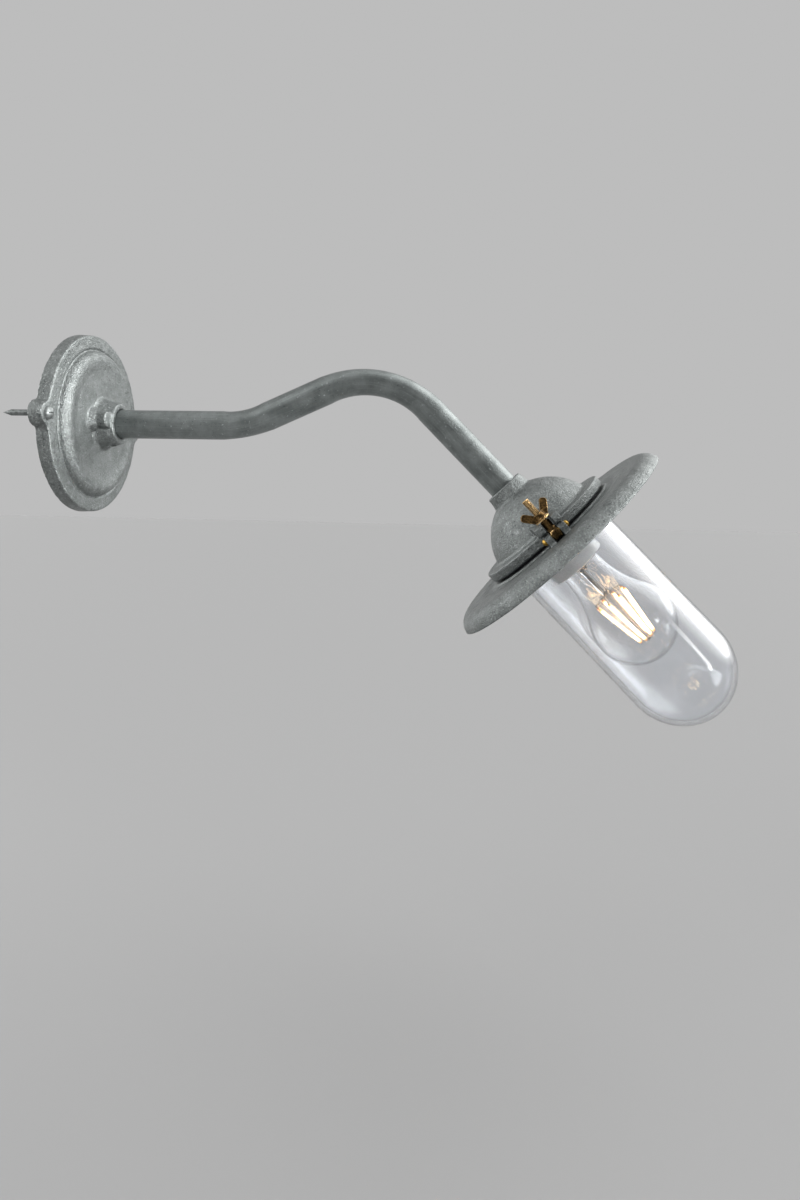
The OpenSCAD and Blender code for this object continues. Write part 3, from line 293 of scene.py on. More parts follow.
plate_r, lug_x, lug_r, lug_top = 66.0, 66.5, 7.4, 9.7
lug_fillet, root_in, root_half = 10.0, 9.0, 12.0
boss_x, boss_up, boss_r, dish_out = -17.2, 1.5, 6.2, 14.0
boss_foot_r, boss_foot_h, boss_sides = 9.6, 7.0, 48
plate_voxel, plate_passes, plate_kept, plate_wave = 0.5, 9, 0.5, 0.12
plate_dents = (((-8, -15, 36), 1.4, 0.5), ((4, -15, 41), 1.1, 0.45), ((-15, -15.5, 32), 1.0, 0.4),
               ((12, -15, 33), 1.2, 0.5), ((-24, -15, 24), 1.0, 0.4), ((-5, -29.5, 11), 1.6, 0.4),
               ((6, -29.5, -12), 1.3, 0.4), ((-11, -29.5, -6), 1.1, 0.35), ((-40, -15.5, 18), 1.2, 0.3),
               ((-14, -24, 6), 3.2, 0.7), ((-19, -20, -4), 2.6, 0.5), ((-10, -22, 12), 3.0, 0.6),
               ((-12, -26, -7), 2.8, 0.6), ((-4, -24, -15), 3.4, 0.6), ((3, -28, 14), 2.4, 0.5))
plate = solid_of("wall_plate")
fillet_x = ((plate_r + lug_fillet) ** 2 - (lug_r + lug_fillet) ** 2 + lug_x ** 2) / (2 * lug_x)
fillet_z = sqrt((plate_r + lug_fillet) ** 2 - fillet_x ** 2)
toward_plate = degrees(atan2(-fillet_z, -fillet_x))
toward_lug = degrees(atan2(-fillet_z, lug_x - fillet_x))
outline = arc_of((fillet_x, fillet_z), lug_fillet, toward_plate, toward_lug)
outline += [(x, -z) for x, z in reversed(outline)]
outline += [(plate_r - root_in, -root_half), (plate_r - root_in, root_half)]
for way in (-1, 1):
    root = bmesh.new()
    face = root.faces.new([root.verts.new((way * x * mm, 0, z * mm)) for x, z in outline])
    top = bmesh.ops.extrude_face_region(root, geom=[face])["geom"]
    top_verts = [part for part in top if isinstance(part, bmesh.types.BMVert)]
    bmesh.ops.translate(root, verts=top_verts, vec=(0, -lug_top * mm, 0))
    bmesh.ops.recalc_face_normals(root, faces=root.faces)
    joined(plate, root)
foot = bmesh.new()
bmesh.ops.create_cone(foot, cap_ends=True, segments=boss_sides, radius1=boss_foot_r * mm, radius2=boss_r * mm,
                      depth=boss_foot_h * mm)
bmesh.ops.rotate(foot, verts=foot.verts, matrix=Matrix.Rotation(pi / 2, 3, "X"))
bmesh.ops.translate(foot, verts=foot.verts, vec=Vector((boss_x, -(dish_out + boss_foot_h / 2), boss_up)) * mm)
joined(plate, foot)
plate = remeshed(plate, plate_voxel, plate_passes, plate_kept)
sand_skin(plate, plate_wave, plate_dents)
fit_piece(plate, "wall_plate_casting", "fixture", "casting", casting, "wall_plate")

# The dome is cast and dipped like the plate, and a grub screw in its collar locks it to the arm's end. What
# belongs to the head is modelled upright, from the top of that collar along the lamp, and "head" tilts it.
lamp_way = Vector(joints["lamp_spin"]["axis"])
lamp_up = Vector((0, lamp_way.z, -lamp_way.y))
joint_down = 60.0                                      # how far the lamp's joint lies below the collar's top
collar_top = Vector(joints["lamp_spin"]["pos_m"]) - joint_down * mm * lamp_way
head = Matrix.Translation(collar_top) @ Matrix(((1, 0, 0), lamp_up, lamp_way)).transposed().to_4x4()
dome_voxel, dome_passes, dome_kept, dome_wave = 0.45, 1, 0.45, 0.1
dome_marks = (((-38, 12, 30), 1.6, 0.4), ((-30, -10, 20), 1.2, 0.3), ((-51.8, 10, 42), 1.3, 0.35))
dome_dents = [(head @ (Vector(spot) * mm) / mm, radius, deep) for spot, radius, deep in dome_marks]
dome = remeshed(solid_of("dome"), dome_voxel, dome_passes, dome_kept)
sand_skin(dome, dome_wave, dome_dents)
fit_piece(dome, "dome_casting", "fixture", "casting", casting, "dome")

# The brim ring is the third casting. It carries the glass, and two pairs of ears for the hinge pins, and the
# swing bolts pull it up to the dome. Knocks have left its edge a little more dented than the rest.
brim_voxel, brim_passes, brim_kept, brim_wave = 0.55, 2, 0.4, 0.16
# Each mark has its radius and angle on the brim, its distance below the collar, its size and its depth.
brim_marks = ((70, 2.4, 47, 2.2, 0.4), (66, 3.6, 47, 1.8, 0.4), (79, 3.0, 47.5, 2.0, 0.3),
              (88, 3.4, 52, 1.6, 0.4), (84, 4.1, 49, 2.0, 0.4), (73, 4.6, 47, 2.4, 0.4))
brim_dents = [(head @ (Vector((r * cos(a), r * sin(a), down)) * mm) / mm, size, deep)
              for r, a, down, size, deep in brim_marks]
brim = remeshed(solid_of("brim_ring"), brim_voxel, brim_passes, brim_kept)
sand_skin(brim, brim_wave, brim_dents)
fit_piece(brim, "brim_casting", "fixture", "casting", casting, "brim_ring")


# The arm is a steel tube, bent twice cold, which flattens it a little on each bend. It is galvanised
# after bending, so lines from drawing run along it under the zinc, with small scuffs and specks. Real lines
# are too fine to show, so they are drawn several times as coarse.
def edges_in(parts):
    """The edges among the parts that a bmesh operator gives back."""
    return [part for part in parts if isinstance(part, bmesh.types.BMEdge)]


tube_r, tube_wall, tube_sides, ring_step = 10.65, 2.0, 72, 1.6
tube_start, run_1, run_2, run_3 = 9.5, 108.5, 48.5, 89.3
rise, bend_1_r, tilt, bend_2_r = 24.5, 78.0, 45.5, 67.5
press_1, press_2, press_shape = 0.06, 0.1, 0.6
stretches = ((run_1 - tube_start, 0, 0, 0), (0, -rise, bend_1_r, press_1), (run_2, 0, 0, 0),
             (0, rise + tilt, bend_2_r, press_2), (run_3, 0, 0, 0))
tube = bmesh.new()
around = tube.verts.layers.float_vector.new("tube_place")
rim = bmesh.ops.create_circle(tube, segments=tube_sides, radius=tube_r * mm)["verts"]
bmesh.ops.rotate(tube, verts=rim, matrix=Matrix.Rotation(pi / 2, 3, "X"))
for vert in rim:
    vert[around] = vert.co.copy()
bmesh.ops.translate(tube, verts=rim, vec=(0, -tube_start * mm, 0))
end_loop = list(tube.edges)
heading = Vector((0, -1, 0))
centre_line = [tube_start * heading]
flattened = []
for length, angle, radius, thin in stretches:
    if radius:
        middle = centre_line[-1] + radius * heading.cross(Vector((1, 0, 0))) * (1 if angle < 0 else -1)
        steps = round(radius * abs(radians(angle)) / ring_step)
        made = bmesh.ops.spin(tube, geom=end_loop, cent=middle * mm, axis=(1, 0, 0), angle=radians(angle),
                              steps=steps)
        end_loop = edges_in(made["geom_last"])
        first = centre_line[-1] - middle
        turns = [Matrix.Rotation(radians(angle) * i / steps, 3, "X") for i in range(1, steps + 1)]
        centre_line += [middle + turn @ first for turn in turns]
        flattened.append((middle, radius, first, radians(angle), thin))
        heading = turns[-1] @ heading
    else:
        steps = round(length / ring_step)
        for _ in range(steps):
            made = bmesh.ops.extrude_edge_only(tube, edges=end_loop)["geom"]
            end_loop = [edge for edge in edges_in(made) if all(vert in made for vert in edge.verts)
                        and not edge.is_wire and len(edge.link_faces) == 1]
            bmesh.ops.translate(tube, verts=list({vert for edge in end_loop for vert in edge.verts}),
                                vec=heading * length / steps * mm)
            centre_line.append(centre_line[-1] + heading * length / steps)
stations = kdtree.KDTree(len(centre_line))
for index, spot in enumerate(centre_line):
    stations.insert(spot, index)
stations.balance()
for vert in tube.verts:
    spot = vert.co / mm
    _, index, _ = stations.find(spot)
    vert[around].y = index * ring_step * mm
    for middle, radius, first, angle, thin in flattened:
        arm = Vector((0, spot.y - middle.y, spot.z - middle.z))
        share = Vector((first.y, first.z)).angle_signed(Vector((arm.y, arm.z))) / -angle
        if 0 < share < 1:
            press = thin * sin(pi * share) ** press_shape
            spot.x *= 1 + press / 2
            spot += arm.normalized() * (radius - arm.length) * press
    vert.co = spot * mm
bmesh.ops.recalc_face_normals(tube, faces=tube.faces)

tube_patch, tube_grain, tube_relief, speck_size = 14.0, 1.1, 0.22, 1.6
line_spacing, line_stretch, line_relief = 0.8, 0.03, 0.03
tube_zinc = material("galvanised drawn tube", Metallic=0.8)
place, tone, _, bump = grained(tube_zinc, "#626766", "#7D8281", tube_patch, tube_grain, tube_relief,
                               gloss=(0.26, 0.42), tones=(0.34, 0.66))
run = add(tube_zinc, "ShaderNodeAttribute", attribute_name="tube_place").outputs["Vector"]
drawn_out = add(tube_zinc, "ShaderNodeVectorMath", {0: run, 1: (1.0, line_stretch, 1.0)},
                operation="MULTIPLY").outputs["Vector"]
lines = add(tube_zinc, "ShaderNodeTexNoise", {"Vector": drawn_out, "Scale": 1 / (line_spacing * mm),
                                              "Detail": 2.0}).outputs["Fac"]
specks = add(tube_zinc, "ShaderNodeTexNoise", {"Vector": place, "Scale": 1 / (speck_size * mm),
                                               "Detail": 2.0}).outputs["Fac"]
line_bump = add(tube_zinc, "ShaderNodeBump", {"Height": lines, "Distance": line_relief * mm, "Normal": bump})
surface(tube_zinc, Normal=line_bump.outputs["Normal"], Base_Color=layered(
    tube_zinc, tone,
    (lines, 0.5, 0.75, 0.35, "#8F9493"),               # lines left by the drawing
    (specks, 0.68, 0.76, 0.7, "#C3C9CA")))             # bright specks of zinc
arm = fit_piece(tube, "arm_tube_bent", "fixture", "tube", tube_zinc, "arm_tube")
wall = arm.modifiers.new("wall", "SOLIDIFY")
wall.thickness, wall.offset = tube_wall * mm, -1.0


# Small steel screws, rings, the strap and the lamp's contact are stamped or turned and zinc plated.
# The plating is pale and finely scratched, and the two wall screws have weathered to a dull grey.
def dress(finish, *names):
    """Gives carried-over nodes a finish."""
    for name in names:
        node[name].data.materials.clear()
        node[name].data.materials.append(finish)


plated_steel = material("zinc plated steel", Metallic=1.0)
grained(plated_steel, "#A3A7A8", "#C9CCCC", patch_size=3.0, grain_size=0.35, relief=0.02, gloss=(0.22, 0.4))
dress(plated_steel, "hub_grub_screw", "collar_grub_screw", "terminal_screws", "block_screw", "earth_screws",
      "earth_rings", "holder_strap", "strap_screws", "holder_screws", "holder_terminal_screws", "lamp_contact")
weathered_steel = material("weathered zinc plate", Metallic=0.8)
grained(weathered_steel, "#5A5E5D", "#8B8F8E", patch_size=2.2, grain_size=0.4, relief=0.05, gloss=(0.35, 0.6))
dress(weathered_steel, "wall_screws")

# The wall gasket and the lower seal are moulded in dark rubber, matt with a faint bloom. The gasket is
# pressed between the plate and the wall, and the seal lies in the brim ring, under the glass's flange.
rubber = material("moulded rubber")
grained(rubber, "#222324", "#313233", patch_size=6.0, grain_size=0.5, relief=0.03, gloss=(0.6, 0.8))
dress(rubber, "wall_gasket", "lower_seal")

# The terminal block is white moulded plastic, and its sleeves, the lampholder's terminals, its spring
# contact and its thin threaded shell are stamped or turned brass, bright where nothing touches it.
white_plastic = material("moulded white nylon", Subsurface_Weight=0.05)
grained(white_plastic, "#E1E0DA", "#ECEBE6", patch_size=8.0, grain_size=0.5, relief=0.015, gloss=(0.35, 0.5))
dress(white_plastic, "terminal_block")
brass = material("bright brass", Metallic=1.0)
grained(brass, "#A5823F", "#C9A557", patch_size=2.5, grain_size=0.3, relief=0.015, gloss=(0.22, 0.42))
dress(brass, "terminal_sleeves", "holder_terminals", "screw_shell", "centre_contact")

# Three wires run through the tube to the lampholder in soft extruded plastic, brown for live, blue for
# neutral, and for earth green with yellow on the side that faces one way.
wire_colours = (("brown", "live_wire", "#5B3A26", "#6A452E"), ("blue", "neutral_wire", "#2A5FA0", "#336CB2"),
                ("green", "earth_wire", "#2F7D3B", "#3A8C46"))
stripe_yellow, stripe_edge = "#D9C534", 0.25
for word, name, dark, light in wire_colours:
    jacket = material(f"{word} wire insulation")
    _, tone, _, _ = grained(jacket, dark, light, patch_size=5.0, grain_size=0.5, relief=0.01, gloss=(0.35, 0.5))
    if word == "green":
        facing = add(jacket, "ShaderNodeNewGeometry").outputs["Normal"]
        across = add(jacket, "ShaderNodeSeparateXYZ", {"Vector": facing}).outputs["X"]
        stripe = add(jacket, "ShaderNodeMath", {0: across, 1: stripe_edge},
                     operation="GREATER_THAN").outputs["Value"]
        striped = add(jacket, "ShaderNodeMix", {0: stripe, 6: tone, 7: linear(stripe_yellow)}, data_type="RGBA")
        surface(jacket, Base_Color=striped.outputs[2])
    dress(jacket, name)


# Each swing bolt is bronze: an eye on a brass pin, a plain shank and a stud with a rolled thread. Handling
# has turned the bronze dark brown and kept its edges bright. The thread is a ridge wound round the stud.
def cut_off(bm, level, way):
    """Cuts a bmesh at a place and keeps what lies behind, and gives back the cut's edges."""
    return edges_in(bmesh.ops.bisect_plane(bm, geom=bm.verts[:] + bm.edges[:] + bm.faces[:], plane_co=level,
                                           plane_no=way, clear_outer=True)["geom_cut"])


def wound(bm, outline, pitch, low, turns, sides):
    """Winds a ridge, given by radius and height in mm, up round the z axis from a height."""
    verts = [bm.verts.new((r * mm, 0, (low + z) * mm)) for r, z in outline]
    edges = [bm.edges.new(pair) for pair in zip(verts, verts[1:])]
    bmesh.ops.spin(bm, geom=verts + edges, axis=(0, 0, 1), dvec=(0, 0, pitch / sides * mm), angle=2 * pi * turns,
                   steps=turns * sides)
    bmesh.ops.remove_doubles(bm, verts=bm.verts, dist=0.005 * mm)


def turned(bm, outline, steps=48, closed=True):
    """Spins an outline of radius and height, in mm, once round the z axis."""
    verts = [bm.verts.new((r * mm, 0, z * mm)) for r, z in outline]
    edges = [bm.edges.new(pair) for pair in zip(verts, verts[1:] + verts[:1] * closed)]
    bmesh.ops.spin(bm, geom=verts + edges, axis=(0, 0, 1), angle=2 * pi, steps=steps, use_merge=True)
    bmesh.ops.remove_doubles(bm, verts=bm.verts, dist=0.002 * mm)
    bmesh.ops.recalc_face_normals(bm, faces=bm.faces)


pin_out, pin_down = 57.0, 43.0
eye_r, eye_half, bore_r, eye_edge = 4.2, 3.2, 2.05, 0.5
stud_reach, stud_r, shank_r, shank_end, shank_in = 28.3, 2.5, 3.1, 10.5, 1.0
bolt_sides, bolt_voxel = 40, 0.24
thread_pitch, thread_depth, thread_clear, thread_sides, thread_in = 0.8, 0.42, 0.01, 24, 0.6
tip_h, tip_out, tip_in = 0.5, 0.12, 0.5
root_r, crest_r = stud_r - thread_depth, stud_r - thread_clear
thread_form = ((root_r, 0), (root_r, 0.15), (crest_r, 0.42), (crest_r, 0.58), (root_r, 0.85), (root_r, 1))
thread = [(radius, share * thread_pitch) for radius, share in thread_form]
thread_low, thread_high = shank_end - thread_in, stud_reach - tip_h
thread_turns = round((thread_high - thread_low) / thread_pitch) + 2
bronze = material("cast bronze with a dark patina", Metallic=1.0)
_, tone, _, _ = grained(bronze, "#2E2417", "#6C5433", patch_size=3.2, grain_size=0.9, relief=0.12, gloss=(0.2, 0.4))
corner = add(bronze, "ShaderNodeNewGeometry").outputs["Pointiness"]
surface(bronze, Base_Color=layered(bronze, tone, (corner, 0.51, 0.59, 0.85, "#E3C08A")))    # handled edges
pin_places = {}
for word, half_turns in (("near", 1), ("far", 0)):
    pin_place = Matrix.Translation(Vector((pin_out, 0, pin_down)) * mm)
    at_pin = head @ Matrix.Rotation(pi * half_turns, 4, "Z") @ pin_place @ Matrix.Rotation(pi, 4, "X")
    pin_places[word] = at_pin
    eye = bmesh.new()
    turned(eye, [(bore_r, -eye_half), (eye_r - eye_edge, -eye_half), (eye_r, eye_edge - eye_half),
                 (eye_r, eye_half - eye_edge), (eye_r - eye_edge, eye_half), (bore_r, eye_half)])
    bmesh.ops.rotate(eye, verts=eye.verts, matrix=Matrix.Rotation(pi / 2, 3, "X"))
    shank = bmesh.new()
    shank_foot = bore_r + shank_in
    bmesh.ops.create_cone(shank, cap_ends=True, segments=bolt_sides, radius1=shank_r * mm, radius2=shank_r * mm,
                          depth=(shank_end - shank_foot) * mm)
    bmesh.ops.translate(shank, verts=shank.verts, vec=(0, 0, (shank_end + shank_foot) / 2 * mm))
    joined(eye, shank)
    bolt = remeshed(eye, bolt_voxel)
    stud = bmesh.new()
    wound(stud, thread, thread_pitch, thread_low - thread_pitch, thread_turns, thread_sides)
    for level, way in ((thread_low, -1), (thread_high, 1)):
        bmesh.ops.edgeloop_fill(stud, edges=cut_off(stud, (0, 0, level * mm), (0, 0, way)))
    bmesh.ops.recalc_face_normals(stud, faces=stud.faces)
    tip = bmesh.new()
    bmesh.ops.create_cone(tip, cap_ends=True, segments=bolt_sides, radius1=(stud_r - tip_out) * mm,
                          radius2=(stud_r - tip_in) * mm, depth=tip_h * mm)
    bmesh.ops.translate(tip, verts=tip.verts, vec=(0, 0, (stud_reach - tip_h / 2) * mm))
    joined(bolt, stud, tip)
    bolt.transform(at_pin)
    fit_piece(bolt, f"swing_bolt_threaded_{word}", f"swing_bolt_{word}", "bronze", bronze, f"swing_bolt_{word}")
dress(bronze, "washer_near", "washer_far")

# The hinge pins are turned from brass rod, pushed through the brim's ears and the bolts' eyes, and riveted
# over at both ends by hand, which leaves small hammered facets.
pin_shaft_r, pin_half, pin_head_r, pin_head_h, pin_sides, head_share = 2.0, 8.8, 2.5, 2.0, 32, 0.99
rivet = material("hammered brass rivet", Metallic=1.0)
grained(rivet, "#9C7830", "#D2AE5C", patch_size=1.8, grain_size=0.4, relief=0.05, gloss=(0.25, 0.45))
for word, at_pin in pin_places.items():
    pin = bmesh.new()
    bmesh.ops.create_cone(pin, cap_ends=True, segments=pin_sides, radius1=pin_shaft_r * mm,
                          radius2=pin_shaft_r * mm, depth=2 * pin_half * mm)
    for way in (-1, 1):
        dome_head = bmesh.ops.create_icosphere(pin, subdivisions=2, radius=1.0)["verts"]
        bmesh.ops.scale(pin, verts=dome_head, vec=Vector((pin_head_r, pin_head_r, pin_head_h)) * head_share * mm)
        bmesh.ops.translate(pin, verts=dome_head, vec=(0, 0, way * pin_half * mm))
        for vert in dome_head:
            vert.co.z = way * max(way * vert.co.z, pin_half * mm)
    bmesh.ops.dissolve_degenerate(pin, dist=0.001 * mm, edges=pin.edges)
    bmesh.ops.rotate(pin, verts=pin.verts, matrix=Matrix.Rotation(pi / 2, 3, "X"))
    pin.transform(at_pin)
    fit_piece(pin, f"hinge_pin_riveted_{word}", "fixture", "brass", rivet, f"hinge_pin_{word}", flat=True)

# Each wing nut is cast in the same bronze: a coned hub with a raised lip round its top, and two thick
# wings with rounded corners that lean out. Its wings carry the wear of fingers on their edges.
nut_low, nut_turn, nut_bore, nut_high = 12.55, radians(12.0), 2.55, 4.4
nut_voxel, nut_passes = 0.2, 3
nut_outline = [(nut_bore, 0), (4.8, 0), (4.8, 0.7), (4.2, 1.3), (3.75, 3.0), (3.7, 3.6), (4.0, 3.9),
               (3.9, nut_high), (nut_bore, nut_high)]
wing_wide, wing_thick, wing_long, wing_corner, corner_steps = 5.2, 2.0, 12.2, 2.0, 6
wing_angle, wing_out, wing_clear, wing_foot = radians(39.5), 2.2, 2.8, 0.1
for word, at_pin in pin_places.items():
    nut = bmesh.new()
    turned(nut, nut_outline)
    for half_turns in (0, 1):
        wing = bmesh.new()
        blade = bmesh.ops.create_cube(wing, size=1.0)["verts"]
        bmesh.ops.scale(wing, verts=blade, vec=Vector((wing_wide, wing_thick, wing_long)) * mm)
        ends = [edge for edge in wing.edges if min(vert.co.z for vert in edge.verts) > 0
                and abs(edge.verts[0].co.y - edge.verts[1].co.y) > wing_thick / 2 * mm]
        bmesh.ops.bevel(wing, geom=ends, offset=wing_corner * mm, offset_type="OFFSET", segments=corner_steps,
                        profile=0.5, affect="EDGES", material=-1)
        bmesh.ops.translate(wing, verts=wing.verts, vec=(0, 0, wing_long / 2 * mm))
        bmesh.ops.rotate(wing, verts=wing.verts, matrix=Matrix.Rotation(wing_angle, 3, "Y"))
        bmesh.ops.translate(wing, verts=wing.verts, vec=(wing_out * mm, 0, 0))
        for level, way in (((wing_clear * mm, 0, 0), (-1, 0, 0)), ((0, 0, wing_foot * mm), (0, 0, -1))):
            bmesh.ops.edgeloop_fill(wing, edges=cut_off(wing, level, way))
        bmesh.ops.rotate(wing, verts=wing.verts, matrix=Matrix.Rotation(pi * half_turns, 3, "Z"))
        joined(nut, wing)
    nut = remeshed(nut, nut_voxel, nut_passes)
    bmesh.ops.rotate(nut, verts=nut.verts, matrix=Matrix.Rotation(pi / 2 + nut_turn, 3, "Z"))
    bmesh.ops.translate(nut, verts=nut.verts, vec=(0, 0, nut_low * mm))
    nut.transform(at_pin)
    fit_piece(nut, f"wing_nut_cast_{word}", f"wing_nut_{word}", "bronze", bronze, f"wing_nut_{word}")

# The lampholder is glazed porcelain, screwed to a strap inside the dome. It was pressed and fired, so its
# corners are round and soft, and the glaze is glossy over a faintly uneven body.
holder_voxel, holder_passes = 0.5, 8
porcelain = material("glazed porcelain", Coat_Weight=0.6, Coat_Roughness=0.08, Subsurface_Weight=0.08)
grained(porcelain, "#D3D2CE", "#DFDEDA", patch_size=9.0, grain_size=2.0, relief=0.05, gloss=(0.2, 0.32))
holder = remeshed(solid_of("lampholder"), holder_voxel, holder_passes)
fit_piece(holder, "lampholder_glazed", "fixture", "porcelain", porcelain, "lampholder")

# The upper seal is moulded in the same rubber as the lower one. It lies between the dome and the glass, and
# a thin lip at its edge laps down round the glass's flange.
seal_in_r, seal_out_r, lip_in_r, seal_sides = 40.6, 46.95, 46.36, 120
seal_top, seal_foot, lip_foot = 43.03, 44.97, 48.2
lipped = bmesh.new()
turned(lipped, [(seal_in_r, seal_top), (seal_out_r, seal_top), (seal_out_r, lip_foot), (lip_in_r, lip_foot),
                (lip_in_r, seal_foot), (seal_in_r, seal_foot)], seal_sides)
lipped.transform(head)
fit_piece(lipped, "upper_seal_lipped", "fixture", "rubber", rubber, "upper_seal")

# The well glass is thick pressed glass, held by its flange between the two seals. It is clear with a faint
# cool tint, and painted darker where it is seen edge on, a painted dark outline. Its skin is slightly wavy, which
# breaks up the long highlights.
glass_r, glass_wall, glass_flange_r, glass_edge = 39.1, 3.5, 46.3, 0.8
glass_top, glass_foot, glass_end = 45.0, 49.0, 173.4
glass_sides, straight_steps, end_steps, glass_wave, glass_wave_length = 160, 24, 40, 0.06, 24.0
bore = glass_r - glass_wall
straight_top = glass_foot + glass_edge
straight = [straight_top + (glass_end - straight_top) * i / straight_steps for i in range(straight_steps)]
arc = [i * pi / 2 / end_steps for i in range(end_steps + 1)]
outer_end = [(glass_r * cos(a), glass_end + glass_r * sin(a)) for a in reversed(arc)]
flange = [(glass_r + glass_edge, glass_foot), (glass_flange_r - glass_edge, glass_foot),
          (glass_flange_r, glass_foot - glass_edge), (glass_flange_r, glass_top + glass_edge),
          (glass_flange_r - glass_edge, glass_top), (bore, glass_top)]
inner_end = [(bore * cos(a), glass_end + bore * sin(a)) for a in arc]
well = bmesh.new()
turned(well, outer_end + [(glass_r, down) for down in reversed(straight)] + flange
       + [(bore, down) for down in straight] + inner_end, glass_sides, closed=False)
for vert in well.verts:
    if vert.co.z > glass_foot * mm:
        vert.co -= vert.normal * glass_wave * (1 + noise.noise(vert.co / (glass_wave_length * mm))) * mm
well.transform(head)

smear_size = 30.0
clear_glass = material("pressed clear glass", Transmission_Weight=0.94, IOR=1.5)
place = add(clear_glass, "ShaderNodeTexCoord").outputs["Object"]
edge_on_painted_shade = add(clear_glass, "ShaderNodeLayerWeight", {"Blend": 0.5}).outputs["Facing"]
smear = add(clear_glass, "ShaderNodeTexNoise", {"Vector": place, "Scale": 1 / (smear_size * mm), "Detail": 4.0})
smeared = add(clear_glass, "ShaderNodeMapRange", {"Value": smear.outputs["Fac"], "From Min": 0.35, "From Max": 0.75,
                                                  "To Min": 0.0, "To Max": 0.02})
# The base colour is painted dark where the glass is seen edge on, a painted dark outline.
surface(clear_glass, Roughness=smeared.outputs["Result"],
        Base_Color=layered(clear_glass, linear("#FAFCFF"), (edge_on_painted_shade, 0.66, 1.0, 1.0, "#4E565A")))
fit_piece(well, "well_glass_pressed", "fixture", "clear_glass", clear_glass, "well_glass")

# The lamp is a blown glass ball with a glass stem inside, cemented in a cap. Its glass is thin, clear and
# bright, with a painted dark outline where it is seen edge on, and the black glass button under the cap carries its
# end contact.
film_size = 20.0
lamp_glass = material("blown lamp glass", Transmission_Weight=1.0, IOR=1.5)
place = add(lamp_glass, "ShaderNodeTexCoord").outputs["Object"]
edge_on_painted_shade = add(lamp_glass, "ShaderNodeLayerWeight", {"Blend": 0.5}).outputs["Facing"]
film = add(lamp_glass, "ShaderNodeTexNoise", {"Vector": place, "Scale": 1 / (film_size * mm), "Detail": 2.0})
filmed = add(lamp_glass, "ShaderNodeMapRange", {"Value": film.outputs["Fac"], "To Min": 0.0, "To Max": 0.01})
# The base colour is painted dark where the glass is seen edge on, a painted dark outline.
surface(lamp_glass, Roughness=filmed.outputs["Result"],
        Base_Color=layered(lamp_glass, linear("#FCFCFC"), (edge_on_painted_shade, 0.66, 1.0, 1.0, "#4A5054")))
dress(lamp_glass, "lamp_bulb", "lamp_stem")
for name in ("lamp_bulb", "lamp_stem"):
    node[name].data.polygons.foreach_set("use_smooth", [True] * len(node[name].data.polygons))
black_glass = material("black vitrite glass", IOR=1.52)
grained(black_glass, "#101012", "#1B1B1E", patch_size=2.0, grain_size=0.5, relief=0.02, gloss=(0.1, 0.25))
dress(black_glass, "lamp_insulator")

# The lamp's cap is thin brass sheet, with the screw thread rolled into it as one smooth wave. A cone closes
# it down to the button, and a plain band at its other end grips the glass.
cap_r, cap_pitch, cap_top, cap_edge, cap_wall, button_r = 13.2, 3.629, 53.05, 76.0, 0.35, 9.0
cap_thread, cap_clear, cap_cone_h, cap_cone_in, cap_band_h, cap_band_in = 0.53, 0.02, 3.0, 0.5, 1.6, 0.3
cap_turns, cap_sides, wave_steps = 6, 48, 10
wave = [(cap_r - cap_clear - cap_thread * (1 - cos(2 * pi * i / wave_steps)), cap_pitch * i / wave_steps)
        for i in range(wave_steps + 1)]
cap = bmesh.new()
wound(cap, wave, cap_pitch, cap_top, cap_turns, cap_sides)
cone_end, band_start = cap_top + cap_cone_h, cap_edge - cap_band_h
for level, way in ((cone_end, -1), (band_start, 1)):
    cut_off(cap, (0, 0, level * mm), (0, 0, way))
for start, end, start_r, end_r in ((cap_top, cone_end, button_r, cap_r - cap_cone_in),
                                   (band_start, cap_edge, cap_r - cap_band_in, cap_r - cap_band_in)):
    band = bmesh.ops.create_cone(cap, segments=cap_sides, radius1=start_r * mm, radius2=end_r * mm,
                                 depth=(end - start) * mm)["verts"]
    bmesh.ops.translate(cap, verts=band, vec=(0, 0, (start + end) / 2 * mm))
bmesh.ops.recalc_face_normals(cap, faces=cap.faces)
cap.transform(head)
screw_cap = fit_piece(cap, "lamp_cap_threaded", "lamp", "brass", brass, "lamp_cap")
wall = screw_cap.modifiers.new("wall", "SOLIDIFY")
wall.thickness, wall.offset = cap_wall * mm, -1.0

# Eight filament rods glow round the stem. Each is a strip of lamps under a yellow coat, white hot to the
# eye along its middle and orange at its two ends, where a bare steel tab comes out.
filament_count, filament_r, filament_top, filament_run = 8, 1.05, 108.0, 35.55
filament_top_r, filament_low_r = 12.3, 6.6
rod_sides, rod_edge, rod_edge_steps, tab_r, tab_up, tab_down = 16, 0.5, 3, 0.45, 1.6, 1.2
filament_end = filament_top + filament_run
end_orange, lit_white, dim, full_power = "#D9791C", "#FFD9A0", (0.1, 0.1, 0.1, 1), 8.0
lit_coat = material("lit filament coat", Roughness=0.6)
place = add(lit_coat, "ShaderNodeTexCoord").outputs["Object"]
along = add(lit_coat, "ShaderNodeVectorMath", {0: place, 1: tuple(lamp_way)},
            operation="DOT_PRODUCT").outputs["Value"]
collar_along = collar_top.dot(lamp_way)
share = add(lit_coat, "ShaderNodeMapRange", {"Value": along, "From Min": collar_along + filament_top * mm,
                                             "From Max": collar_along + filament_end * mm}).outputs["Result"]
glow, power = [add(lit_coat, "ShaderNodeValToRGB", {"Fac": share}) for _ in range(2)]
for ramp, edge_colour, lit_colour, inset in ((glow, linear(end_orange), linear(lit_white), 0.07),
                                             (power, dim, (1, 1, 1, 1), 0.08)):
    for step in ramp.color_ramp.elements:
        step.color = edge_colour
    for at in (inset, 1 - inset):
        ramp.color_ramp.elements.new(at).color = lit_colour
